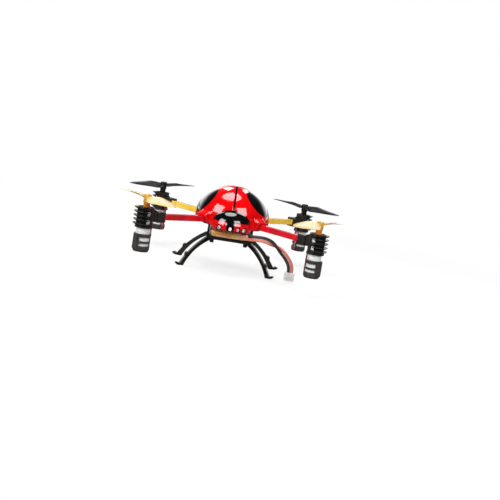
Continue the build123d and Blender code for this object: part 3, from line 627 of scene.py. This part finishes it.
def ease(value, low, high):
    """0 below low, 1 above high, smooth between."""
    t = min(max((value - low) / (high - low), 0), 1)
    return t * t * (3 - 2 * t)


def spread(low, high, step):
    """Evenly spaced values from low to high, no further apart than a step."""
    count = max(1, ceil((high - low) / step))
    return [low + (high - low) * i / count for i in range(count + 1)]


# ======== canopy
SHOULDER = 15.5  # radius of the dome's shoulder arc
CANOPY_WALL = 0.6
NOSE_RIM = 22.2
SIDE_RIM = 24.6
RIM_DROP = (-19.8, -15.2)  # the rim rises from the nose to the sides between these places
ARM_BEARINGS = (45, 135, 225, 315)
ARM_TOP = box_mm("arm_front_left")[1].z
SLOT_HALF = 1.65
SLOT_TOP = ARM_TOP + 0.15
FACE_HALF = 9.8
FACE_SPRING = 26.2
FACE_ARCH = 7.0
FACE_GROWTH = 0.3  # of the flange round the face
FACE_WALL = 0.65
BULGE_AXIS = -11.7  # the bulge is an arc turned about an upright axis behind it
BULGE_OFFSET = 2.2
BULGE_RADIUS = 10.5
BULGE_HEIGHT = 23.3
BROW_BOTTOM = 27.2
TONGUE_X = -0.5
TONGUE_HALF = 1.9
TONGUE_FLARE = 0.5  # how much wider it is under the brow
TONGUE_RELIEF = 0.15
TONGUE_FADE = 0.6  # the relief runs out over this height under the brow
CREASE_DEPTH = 0.12
CREASE_DROP = 0.2  # of the crease under the brow's edge
CREASE_WIDTH = 0.5
FLANK_START = -12.0  # behind this the face is black
NOTCH_GAP = 0.15
NOTCH_FLOOR = 21.0
LIGHT_HEIGHT = 23.85
LIGHT_RADIUS = 1.12
LIGHT_STRETCH = 1.38  # the lenses are taller than wide
LIGHT_TIP = 23.2
LIGHT_BEARINGS = (254, 269, 279, 287.5)
TINTED_LIGHT = 2  # the third one is red

INSET = DOME_RADIUS - SHOULDER
CROWN = (INSET**2 + DOME_RISE**2 - SHOULDER**2) / (2 * (DOME_RISE - SHOULDER))
LEAN = atan2(CROWN - DOME_RISE, INSET)


def dome_radius(height, growth):
    """Radius of the dome, grown outward by a distance, at a height."""
    up = height - DOME_CENTRE
    if up <= 0:
        return DOME_RADIUS + growth
    if height <= DOME_CENTRE + (SHOULDER + growth) * sin(LEAN):
        return INSET + sqrt(max((SHOULDER + growth) ** 2 - up**2, 0))
    crown_up = up - DOME_RISE + CROWN
    return sqrt(max((CROWN + growth) ** 2 - crown_up**2, 0))


def dome_rows():
    """(radius, height) of the dome's section from the top to where the wall turns upright."""
    rows = []
    crown_z = DOME_CENTRE + DOME_RISE - CROWN
    for angle in spread(0.4, 90 - LEAN * 180 / pi, 1.6):
        a = radians(90 - angle)
        rows.append((CROWN * cos(a), crown_z + CROWN * sin(a)))
    for angle in spread(0, LEAN * 180 / pi, 2.0)[1:]:
        a = LEAN - radians(angle)
        rows.append((INSET + SHOULDER * cos(a), DOME_CENTRE + SHOULDER * sin(a)))
    return rows


def rim_height(y):
    """Height of the canopy's lower edge, which drops towards the nose."""
    return NOSE_RIM + (SIDE_RIM - NOSE_RIM) * ease(y, *RIM_DROP)


EDGE_ROUND = 1.5  # the face's edges are rounded off over this width
SADDLE_HALF = 2.3
SADDLE_BLEND = 1.5  # width over which a saddle runs into the dome
SADDLE_REACH = 6.0
SADDLE_TIP = 23.4  # radius of the saddle at its top edge, and at the rim
SADDLE_FOOT = 21.2
SADDLE_TOP = ARM_TOP + 0.9
SADDLE_SLOPE = 2.0  # of its top
SADDLE_CEILING = 31.5
SEAM_DEPTH = 0.22
SEAM_WIDTH = 0.42
POLE_SINK = 0.2


def saddle_radius(height):
    """Radius of the ridge that covers an arm, at a height."""
    rise = (SADDLE_TIP - SADDLE_FOOT) / (SADDLE_TOP - SIDE_RIM)
    low = SADDLE_FOOT + (height - SIDE_RIM) * rise
    high = SADDLE_TIP - SADDLE_SLOPE * (height - SADDLE_TOP)
    sharpness = 4.0
    return -log_sum(-low * sharpness, -high * sharpness) / sharpness


def log_sum(a, b):
    """Smooth maximum of two numbers, times their sharpness."""
    top = max(a, b)
    return top + log(exp(a - top) + exp(b - top))


def canopy_point(radius, height, bearing):
    """A point of the dome's skin, pushed out where a saddle covers an arm and in at the seam."""
    nearest = min(ARM_BEARINGS, key=lambda b: abs((bearing - b + 180) % 360 - 180))
    across = radius * sin(radians(bearing - nearest))
    ridge = saddle_radius(height) - radius
    if height < SADDLE_CEILING and ridge > 0 and abs(across) < SADDLE_REACH:
        share = 1 - ease(abs(across), SADDLE_HALF, SADDLE_HALF + SADDLE_BLEND)
        radius += ridge * share
    a = radians(bearing)
    x, y = radius * cos(a), radius * sin(a)
    # shallow seam along the centre line
    sink = SEAM_DEPTH * exp(-((x / SEAM_WIDTH) ** 2))
    outward = Vector((x / DOME_RADIUS, y / DOME_RADIUS, (height - DOME_CENTRE) / DOME_RISE))
    outward.z = max(outward.z, 0)
    return Vector((x, y, height)) - outward.normalized() * sink


def canopy_bearings():
    """Bearings of the dome's columns, closer together at the saddles and along the seam."""
    runs = [(seam - 3, seam + 3, 0.4) for seam in (90, 270)]
    for start in range(0, 360, 30):
        runs.append((start, start + 30, 0.6 if start % 90 == 30 else 1.5))
    return sorted({round(b % 360, 4) for run in runs for b in spread(*run)})


def canopy_cutters():
    """Slots for the arms, and the opening behind the face."""
    cutters = []
    slot_start, slot_end, floor = 10, 26, 20
    for bearing in ARM_BEARINGS:
        turn = Matrix.Rotation(radians(bearing), 4, "Z")
        slot = rectangle(slot_start, slot_end, -SLOT_HALF, SLOT_HALF)
        cutters.append(moved(prism(slot, floor, SLOT_TOP), turn))
    half = FACE_HALF - 0.4
    nose, back, ceiling = -24, -12, 25.4
    cutters.append(prism(rectangle(-half, half, nose, back), floor, ceiling))
    return cutters


def build_canopy():
    bearings = canopy_bearings()
    vertices = []
    rows = dome_rows()
    for radius, height in rows:
        vertices += [canopy_point(radius, height, b) for b in bearings]
    wall_rows = 9
    for row in range(1, wall_rows + 1):
        for b in bearings:
            y = DOME_RADIUS * sin(radians(b))
            height = DOME_CENTRE + (rim_height(y) - DOME_CENTRE) * row / wall_rows
            vertices.append(canopy_point(DOME_RADIUS, height, b))
    count = len(bearings)
    faces = grid_faces(len(rows) + wall_rows, count, wrap=True)
    vertices.append((0, 0, DOME_CENTRE + DOME_RISE - POLE_SINK))
    pole = len(vertices) - 1
    faces += [(pole, (k + 1) % count, k) for k in range(count)]
    shell = mesh_piece("canopy_dome", vertices, faces)
    wall = shell.modifiers.new("wall", "SOLIDIFY")
    wall.thickness = CANOPY_WALL * MM
    wall.offset = -1
    wall.use_even_offset = True
    apply_modifiers(shell)
    combine(shell, mesh_piece("canopy_cutter", *merge(*canopy_cutters())))
    dress(shell, canopy_paint(), "canopy", ("canopy_shell",), sharp=40)


def arch_height(x):
    """Height of the face's outline above a place across it."""
    return FACE_SPRING + FACE_ARCH * sqrt(max(1 - (x / FACE_HALF) ** 2, 0))


def edge_distance(x, z):
    """Rough distance from a point of the face to its outline."""
    side = FACE_HALF - abs(x)
    if z > FACE_SPRING:
        reach = hypot(x / FACE_HALF, (z - FACE_SPRING) / FACE_ARCH)
        side = (1 - reach) * hypot(FACE_HALF, FACE_ARCH) / sqrt(2) * 0.9
    return max(min(side, z - NOSE_RIM), 0)


def face_depth(x, z):
    """How far in front of the hub the face stands: a full bulge, rounded off at its outline."""
    flange = sqrt(dome_radius(z, FACE_GROWTH) ** 2 - x * x)
    up = max(z - BULGE_HEIGHT, 0)
    reach = BULGE_OFFSET + sqrt(max(BULGE_RADIUS**2 - up**2, 0))
    bulge = sqrt(max(reach**2 - x * x, 0)) - BULGE_AXIS
    softness = 0.25
    proud = softness * log_sum(0, (bulge - flange) / softness)
    near = min(edge_distance(x, z) / EDGE_ROUND, 1)
    # a faint crease under the brow and a raised tongue
    crease = CREASE_DEPTH * exp(-(((z - BROW_BOTTOM + CREASE_DROP) / CREASE_WIDTH) ** 2))
    tongue = 1 - ease(abs(x - TONGUE_X), TONGUE_HALF, TONGUE_HALF + TONGUE_FLARE)
    below = 1 - ease(z, BROW_BOTTOM - TONGUE_FADE, BROW_BOTTOM)
    relief = TONGUE_RELIEF * tongue * below - crease
    return flange + (proud + relief) * sqrt(1 - (1 - near) ** 2)


def light_notch(bearing):
    """Cutter for the notch that a light's lens stands in, open at the bottom."""
    half = LIGHT_RADIUS + NOTCH_GAP
    rise = LIGHT_RADIUS * LIGHT_STRETCH + NOTCH_GAP
    outline = [(-half * cos(a), LIGHT_HEIGHT + rise * sin(a)) for a in spread(0, pi, pi / 24)]
    outline += [(half, NOTCH_FLOOR), (-half, NOTCH_FLOOR)]
    turn = Matrix.Rotation(radians(bearing), 4, "Z") @ Matrix.Rotation(pi / 2, 4, "Y")
    inner, outer = 16, 28
    return moved(prism([(-z, x) for x, z in outline], inner, outer), turn)


def build_face():
    across = [FACE_HALF * sin(pi / 2 * u) for u in spread(-1, 1, 2 / 84)]
    upward = [0.5 - 0.5 * cos(pi * v) for v in spread(0, 1, 1 / 60)]
    front, back = [], []
    for x in across:
        for share in upward:
            z = NOSE_RIM + share * (arch_height(x) - NOSE_RIM)
            depth = face_depth(x, z)
            front.append((x, -depth, z))
            back.append((x, FACE_WALL - depth, z))
    rows, columns = len(across), len(upward)
    faces = grid_faces(rows, columns)
    start = len(front)
    faces += grid_faces(rows, columns, start=start)
    border = [(0, c) for c in range(columns)] + [(r, columns - 1) for r in range(1, rows)]
    border += [(rows - 1, c) for c in range(columns - 2, -1, -1)]
    border += [(r, 0) for r in range(rows - 2, 0, -1)]
    ring = [r * columns + c for r, c in border]
    for a, b in zip(ring, ring[1:] + ring[:1]):
        faces.append((a, b, b + start, a + start))
    face = mesh_piece("canopy_face_brow", front + back, faces)
    for bearing in LIGHT_BEARINGS:
        combine(face, mesh_piece("notch_cutter", *light_notch(bearing)))
    dress(face, face_paint(), "canopy", ("canopy_face",), sharp=50)


def build_lights():
    """Four cast lenses in dark sleeves, each over the two posts of its lead frame, which glow
    faintly as a painted glint; the dark sleeves are black holders that also paint in the shadow of
    the gap round each lens.
    """
    tip, root, core, dome = LIGHT_TIP, 16.8, 0.76, 0.75
    profile = [(0, root), (0.7, root), (core, root + 0.15)]
    profile += [(core * cos(a), tip - dome + dome * sin(a)) for a in spread(0, pi / 2, pi / 16)]
    bore, back, mouth = core + 0.02, root + 0.3, tip - 0.4
    sleeve = [(bore, back), (LIGHT_RADIUS, back), (LIGHT_RADIUS, mouth - 0.1),
              (LIGHT_RADIUS - 0.06, mouth), (core + 0.06, mouth), (bore, mouth - 0.1), (bore, back)]
    posts = []
    for side in (1, -1):
        outline = rectangle(-0.4, 0.4, side * 0.13, side * 0.29)
        posts.append(prism(outline[::side], tip - 4.0, tip - 1.9))
    clear, tinted, frames, sleeves = [], [], [], []
    for index, bearing in enumerate(LIGHT_BEARINGS):
        turn = Matrix.Rotation(radians(bearing), 4, "Z") @ Matrix.Rotation(pi / 2, 4, "Y")
        taller = Matrix.Diagonal((1, 1, LIGHT_STRETCH, 1))
        place = Matrix.Translation((0, 0, LIGHT_HEIGHT)) @ taller @ turn
        lens = moved(lathe(profile, 32), place)
        (tinted if index == TINTED_LIGHT else clear).append(lens)
        frames += [moved(post, place) for post in posts]
        sleeves.append(moved(lathe(sleeve, 32), place))
    lens = mesh_piece("nose_light_lenses", *merge(*clear))
    glass = clear_lens("lens_clear", (0.93, 0.95, 1.0, 1))
    dress(lens, glass, "airframe", ("nose_lights",))
    red = mesh_piece("nose_light_red", *merge(*tinted))
    dress(red, clear_lens("lens_red", rgb(255, 96, 110), 0.12), "airframe")
    leads = mesh_piece("nose_light_frames", *merge(*frames))
    dress(leads, painted_glint_frame(), "airframe")
    # the dark sleeves are black holders that also paint in the shadow of the gap round each lens
    holder_and_shadow_sleeves = mesh_piece("nose_light_sleeves", *merge(*sleeves))
    dark = moulded("sleeve_black_rubber", rgb(14, 12, 13), 0.5, 0.05, shine=0.3)
    dress(holder_and_shadow_sleeves, dark, "airframe")


# ======== propellers
HUB_BOTTOM = 30.6
HUB_NECK = 33.0  # the stem ends and the thicker head begins
HUB_TOP = 37.1
SHAFT_TOP = 36.3
BORE = 0.51  # radius of the shaft's hole
STEM = 1.6  # radii of the hub's stem and head
HEAD = 1.85
BLADE_HEIGHT = 35.4
BLADE_ROOT = 0.8
BLADE_TIP = 27.45
PITCH = 22.0  # advance per turn
ROOT_TWIST = 8.0  # nearer the axis the twist grows no more
# rest heading of each propeller and the way it turns, +1 anticlockwise seen from above
PROPELLERS = {
    "front_left": (-56.5, 1),
    "front_right": (59.0, -1),
    "rear_left": (52.0, -1),
    "rear_right": (-50.0, 1),
}
CHORDS = ((0.8, 2.6), (2.2, 3.8), (4.5, 6.0), (8.0, 7.7), (12.0, 8.1), (18.0, 7.5),
          (22.5, 6.3), (25.2, 4.7), (26.6, 3.2), (27.2, 1.9), (BLADE_TIP, 0.7))
THICKNESSES = ((0.8, 1.5), (4.5, 1.1), (11.0, 0.9), (18.0, 0.75), (24.0, 0.55), (BLADE_TIP, 0.3))


def blade_section(span, sense, heading):
    """Ring of points round the cambered blade at a distance from the axis."""
    chord = smooth_value(CHORDS, span)
    thick = smooth_value(THICKNESSES, span)
    angle = sense * atan(PITCH / (2 * pi * max(span, ROOT_TWIST)))
    camber = 0.05 * chord
    count = 13
    shares = [0.5 - 0.5 * cos(pi * k / count) for k in range(count + 1)]
    ring = []
    for side, run in ((1, shares), (-1, shares[-2:0:-1])):
        for share in run:
            half = thick * 0.5 * (2 * sqrt(share * (1 - share))) ** 0.85
            up = camber * 4 * share * (1 - share) + side * half
            across = (share - 0.5) * chord
            y = across * cos(angle) - up * sin(angle)
            z = across * sin(angle) + up * cos(angle)
            ring.append((heading * span, heading * y, BLADE_HEIGHT + z))
    return ring


def hub_profile():
    bore = [(0, SHAFT_TOP), (BORE, SHAFT_TOP - 0.1), (BORE, HUB_BOTTOM)]
    stem = [(STEM - 0.15, HUB_BOTTOM), (STEM, HUB_BOTTOM + 0.15), (STEM, HUB_NECK - 0.25),
            (STEM + 0.06, HUB_NECK - 0.05)]
    head = [(HEAD - 0.05, HUB_NECK), (HEAD, HUB_NECK + 0.1), (HEAD, HUB_TOP - 0.2),
            (HEAD - 0.05, HUB_TOP - 0.06), (HEAD - 0.19, HUB_TOP), (0, HUB_TOP)]
    return bore + stem + head


def build_propeller(corner, material):
    heading, sense = PROPELLERS[corner]
    low, high = box_mm("motor_can_" + corner)
    axis = (low + high) / 2
    place = Matrix.Translation((axis.x, axis.y, 0)) @ Matrix.Rotation(radians(heading), 4, "Z")
    taper = 22.0
    spans = spread(BLADE_ROOT, taper, 0.9) + spread(taper, BLADE_TIP, 0.35)[1:]
    piece = mesh_piece("rotor_blades_" + corner, *moved(lathe(hub_profile(), 40), place))
    for side in (1, -1):
        blade = loft([blade_section(span, sense, side) for span in spans])
        combine(piece, mesh_piece("blade", *moved(blade, place)), "UNION")
    # crossed slots in the hub's top
    long, narrow, depth = 3, 0.4, 0.6
    for half_x, half_y in ((long, narrow), (narrow, long)):
        outline = rectangle(-half_x, half_x, -half_y, half_y)
        slot = moved(prism(outline, HUB_TOP - depth, HUB_TOP + 1), place)
        combine(piece, mesh_piece("slot", *slot))
    dress(piece, material, "rotor_" + corner, ("propeller_" + corner,), sharp=38)


# ======== battery
CELL_SEAL = 1.1


def wrinkle(x, y, z, size):
    """Smooth repeatable dents, from a few waves that don't line up."""
    return size * (
        0.5 * sin(0.9 * x + 1.3 * y + 0.7) * cos(0.6 * y - 0.8 * x + 0.2 * z)
        + 0.3 * sin(2.1 * x - 1.7 * y + 1.9 * z + 1.3)
        + 0.2 * sin(3.7 * x + 2.9 * z + 0.4) * cos(3.1 * y + 1.1)
    )


def rounded_ring(half_width, half_height, corner, count, y, z):
    """Ring of points round an upright rounded rectangle across the Y axis."""
    ring = []
    for k in range(count):
        a = 2 * pi * k / count
        across, up = (copysign(abs(value) ** (2 / corner), value) for value in (cos(a), sin(a)))
        ring.append((half_width * across, y, z + half_height * up))
    return ring


def build_pouch():
    """Soft pouch: full in the middle, drawn in at both ends, with a sealed tail and side folds."""
    low, high = box_mm("battery_cell")
    middle = (low.z + high.z) / 2
    full = (high.z - low.z) / 2
    width = (high.x - low.x) / 2
    rings = []
    tail = high.y - CELL_SEAL
    for y in spread(low.y, tail, 0.55):
        front = ease(y, low.y - 0.2, low.y + 2.2)
        back = ease(tail + 0.15 - y, 0, 2.4)
        swell = (0.30 + 0.70 * sqrt(front)) * (0.10 + 0.90 * sqrt(back))
        narrow = 0.965 + 0.035 * min(front, back)
        ring = rounded_ring(width * narrow, full * swell, 7, 96, y, middle)
        dented = []
        for x, yy, z in ring:
            # wrinkles and a slight hollow, away from the side folds
            away = 1 - ease(abs(x), width - 3, width - 0.4)
            inward = (wrinkle(x, yy, 0, 0.10) + 0.12) * away
            dented.append((x, yy, z - inward if z > middle else z + inward))
        rings.append(dented)
    for y in (tail + 0.1, high.y - 0.05):
        rings.append(rounded_ring(width * 0.95, 0.16, 7, 96, y, middle))
    pouch = mesh_piece("battery_pouch", *loft(rings))
    dress(pouch, pouch_foil(), "battery", ("battery_cell",), sharp=50)


def build_tape():
    """Tape wrapped round the protection board: flat faces, soft corners, pressed creases."""
    low, high = box_mm("battery_tape")
    middle = (low.z + high.z) / 2
    half_height = (high.z - low.z) / 2
    half_width = (high.x - low.x) / 2
    rings = []
    lap_over_cell = 1.6
    for y in spread(low.y, high.y + lap_over_cell, 0.22):
        front = sqrt(max(1 - (1 - min((y - low.y) / 0.9, 1)) ** 2, 0))
        swell = 0.55 + 0.45 * front
        width = half_width * (0.93 + 0.07 * front)
        ring = rounded_ring(width, half_height * swell, 6, 120, y, middle)
        creased = []
        for x, yy, z in ring:
            dent = wrinkle(x * 1.4, yy * 1.2, z * 1.5, 0.13)
            creased.append((x + 0.3 * dent, yy + 0.8 * dent * (1 - front), z - dent))
        rings.append(creased)
    tape = mesh_piece("battery_tape_wrap", *loft(rings))
    dress(tape, tape_film(), "battery", ("battery_tape",), sharp=60)


# ======== board details
TRANSISTOR_HALF = (1.45, 0.7)
WIRE_REACH = 10.2  # from the hub's axis to where the motor wires cross the board
WIRE_SIDE = 0.36


def gull_wing(width):
    """One bent pin: local X points away from the package, its foot on the board at z 0."""
    outline = [(-0.1, 0.46), (0.16, 0.46), (0.32, 0.11), (0.62, 0.11),
               (0.62, 0), (0.25, 0), (0.09, 0.35), (-0.1, 0.35)]
    near = [(x, -width / 2, z) for x, z in outline]
    far = [(x, width / 2, z) for x, z in outline]
    return loft([near, far])


def package_pins(low, high, per_side, sides, width):
    """Pins along the sides of a package that spans two corners."""
    centre = (low + high) / 2
    parts = []
    for side in sides:
        along = (high.y - low.y) if side in (0, 2) else (high.x - low.x)
        reach = ((high.x - low.x) if side in (0, 2) else (high.y - low.y)) / 2
        pitch = along / (per_side + 0.6)
        foot = Matrix.Translation((centre.x, centre.y, low.z))
        facing = foot @ Matrix.Rotation(side * pi / 2, 4, "Z")
        for k in range(per_side):
            shift = (k - (per_side - 1) / 2) * pitch
            place = facing @ Matrix.Translation((reach, shift, 0))
            parts.append(moved(gull_wing(width), place))
    return parts


def build_pins():
    parts = []
    for node, per_side, width in (("main_processor", 12, 0.24), ("radio_chip", 6, 0.26)):
        low, high = box_mm(node)
        parts += package_pins(low, high, per_side, (0, 1, 2, 3), width)
    low, high = box_mm("drive_transistors")
    half_x, half_y = TRANSISTOR_HALF
    for x in (-5.5, 5.5):
        for y in (-8.5, 5.2):
            near = Vector((x - half_x, y - half_y, low.z))
            far = Vector((x + half_x, y + half_y, high.z))
            parts += package_pins(near, far, 2, (1,), 0.4)
            parts += package_pins(near, far, 1, (3,), 0.4)
    pins = mesh_piece("package_pins", *merge(*parts))
    tin = metal("pin_tin", rgb(214, 214, 208), 0.26, turned=False)
    dress(pins, tin, "airframe", sharp=30)
    # solder fillets where the motor wires come through the board
    top = box_mm("flight_board")[1].z
    rises = ((0, 0.42), (0.14, 0.4), (0.24, 0.3), (0.32, 0.14), (0.5, 0.03), (0.62, -0.02),
             (0, -0.02))
    fillet = [(radius, top + rise) for radius, rise in rises]
    joints = []
    for bearing in ARM_BEARINGS:
        a = radians(bearing)
        for side in (-WIRE_SIDE, WIRE_SIDE):
            spot = (WIRE_REACH * cos(a) - side * sin(a), WIRE_REACH * sin(a) + side * cos(a))
            joints.append(lathe(fillet, 20, spot))
    solder = mesh_piece("solder_joints", *merge(*joints))
    bright = metal("solder_bright", rgb(206, 208, 210), 0.2, turned=False)
    dress(solder, bright, "airframe")


# ======== CAD nodes that stay
def finish_cad_nodes():
    satin = {"roughness": 0.36, "gloss": 0.12, "shine": 0.35}
    # deep sets how dark the painted shade in their hollows is
    black = moulded("frame_black_plastic", rgb(40, 36, 34), deep=0.12, **satin)
    cap = moulded("cap_black_plastic", rgb(60, 58, 55), deep=0.3, **satin)
    steel = metal("motor_steel_drawn", rgb(255, 255, 255), 0.42, polish=0.2)
    finishes = {
        "arm_front": glossy("arm_red_gloss", rgb(226, 22, 40), rgb(196, 10, 24)),
        "arm_rear": glossy("arm_yellow_gloss", rgb(254, 214, 84), rgb(246, 198, 60)),
        "motor_mount": black,
        "motor_cap": cap,
        "motor_can": steel,
        "motor_rotor": winding(),
        "motor_magnet": metal("magnet_nickel_plate", rgb(200, 198, 190), 0.2),
        "motor_end_bell": moulded("end_bell_nylon", rgb(224, 220, 208), 0.42),
        "leg": black,
        "centre_frame": black,
        "arm_clamp_plate": black,
        "battery_tray": black,
        "clamp_screws": metal("screw_steel_turned", rgb(190, 190, 192), 0.25),
        "flight_board": circuit_board("board_green_mask"),
        "battery_protection_board": circuit_board("protection_board_mask"),
        "main_processor": chip_epoxy("chip_black_epoxy"),
        "motion_sensor": chip_epoxy("sensor_black_epoxy"),
        "radio_chip": chip_epoxy("radio_black_epoxy"),
        "drive_transistors": chip_epoxy("transistor_black_epoxy"),
        "radio_crystal": metal("crystal_can", rgb(214, 210, 200), 0.22, turned=False),
        "board_capacitors": capacitor_ceramic(),
        "power_socket": moulded("socket_white_nylon", rgb(236, 234, 224), 0.4),
        "battery_plug": moulded("plug_white_nylon", rgb(250, 248, 242), 0.4),
        "antenna_wire": silicone("antenna_black_sleeve", rgb(24, 24, 26), 0.0),
        "motor_wires": silicone("motor_wire_sleeve", rgb(168, 84, 92)),
        "battery_lead_red": silicone("lead_red_sleeve", rgb(222, 132, 112)),
        "battery_lead_black": silicone("lead_black_sleeve", rgb(58, 48, 54), 0.0),
    }
    for name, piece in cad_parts.items():
        key = max((k for k in finishes if name.startswith(k)), key=len, default=None)
        if key:
            coat(piece, finishes[key])


# ======== stage, lights and camera
TARGET = Vector((0, 0, 0.028))


def build_floor():
    half_size = 3000
    below = 0.02
    steps = spread(-half_size, half_size, half_size / 12)
    vertices = [(x, y, -below) for x in steps for y in steps]
    floor = mesh_piece("studio_floor", vertices, grid_faces(len(steps), len(steps)))
    f = Finish("floor_paper")
    path = f.node("LightPath")
    camera, mirrored = path.outputs["Is Camera Ray"], path.outputs["Is Glossy Ray"]
    far = f.remap(f.vector("LENGTH", f.place), 120, 320)
    white = f.math("*", camera, f.remap(far, 0, 1, 0.72, 1.0))
    tone = f.blend(f.noise(0.05, 4), (0.88, 0.88, 0.88, 1), (0.92, 0.92, 0.92, 1))
    # dark to reflections, grey to bounced light
    unseen = f.blend(mirrored, (0.42, 0.42, 0.42, 1), (0.07, 0.07, 0.07, 1))
    tone = f.blend(camera, unseen, tone)
    paper = f.principled(Base_Color=tone, Roughness=0.8, Normal=f.bump(f.noise(0.8, 3), 0.02))
    glow = f.node("Emission", Color=(1, 1, 1, 1), Strength=1.0).outputs[0]
    floor.data.materials.append(f.surface(f.mix_shader(white, paper, glow)))


def build_world():
    """White to the camera. For lighting it is a dim room with two bright walls behind."""
    world = bpy.data.worlds.new("studio_world")
    scene.world = world
    world.use_nodes = True
    g = Graph(world.node_tree, "OutputWorld")
    place = g.node("TexCoord").outputs["Generated"]
    x, y, z = g.node("SeparateXYZ", Vector=place).outputs
    behind = g.remap(y, 0.45, 0.85)
    height = g.remap(z, 0.32, 0.55, 2.9, 0.1)
    gap = g.remap(g.math("ABSOLUTE", x), 0.05, 0.16, 0.12, 1.0)
    walls = g.both(behind, height, gap)
    room = g.node("Background", Strength=g.math("+", walls, 0.05)).outputs[0]
    white = g.node("Background", Color=(1, 1, 1, 1), Strength=1.0).outputs[0]
    seen = g.node("LightPath").outputs["Is Camera Ray"]
    g.end(g.mix_shader(seen, room, white))


def softbox(name, direction, size, radiance, shape="SQUARE"):
    """Area light facing the object from a direction, half a metre away."""
    distance = 0.5
    light = bpy.data.lights.new(name, "AREA")
    light.shape = shape
    light.size = size
    area = size * size * (pi / 4 if shape == "DISK" else 1)
    light.energy = radiance * pi * area
    lamp = add(name, light)
    toward = Vector(direction).normalized()
    lamp.location = TARGET + toward * distance
    lamp.rotation_euler = toward.to_track_quat("Z", "Y").to_euler()


def build_camera():
    """A little above the nose, rolled, and aimed off the object, which stands left of and
    above the middle of the picture."""
    azimuth, elevation, roll = radians(-0.79), radians(6.54), radians(9.08)
    distance = 0.4256
    aim_off = Vector((-0.02259, 0.04287, -1))
    back = Vector((sin(azimuth) * cos(elevation), -cos(azimuth) * cos(elevation), sin(elevation)))
    right = Vector((cos(azimuth), sin(azimuth), 0))
    axes = Matrix((right, back.cross(right), back)).transposed() @ Matrix.Rotation(roll, 3, "Z")
    turn = axes @ aim_off.rotation_difference(Vector((0, 0, -1))).to_matrix()
    lens = bpy.data.cameras.new("camera")
    lens.lens = 56.43
    lens.sensor_width = 36
    lens.clip_start = 0.01
    camera = add("camera", lens)
    camera.matrix_world = Matrix.Translation(TARGET + back * distance) @ turn.to_4x4()
    scene.camera = camera


finish_cad_nodes()
build_canopy()
build_face()
build_lights()
cream, gold, orange = rgb(240, 218, 158), rgb(238, 196, 84), rgb(250, 156, 52)
yellow = propeller_plastic("propeller_yellow_plastic", cream, gold, orange, 0.28, 0.35)
dark = rgb(14, 13, 14)
black = propeller_plastic("propeller_black_plastic", dark, dark, dark, 0.3, 0.0)
for corner in PROPELLERS:
    build_propeller(corner, yellow if corner.startswith("front") else black)
build_pouch()
build_tape()
build_pins()
build_floor()
build_world()
softbox("overhead_box", (-0.12, 0.10, 0.99), 0.34, 7.0, "DISK")
softbox("left_box", (-0.688, -0.526, 0.498), 0.25, 9.0)
softbox("right_box", (0.42, -0.688, 0.59), 0.24, 9.0)
build_camera()
scene.view_settings.view_transform = "Standard"
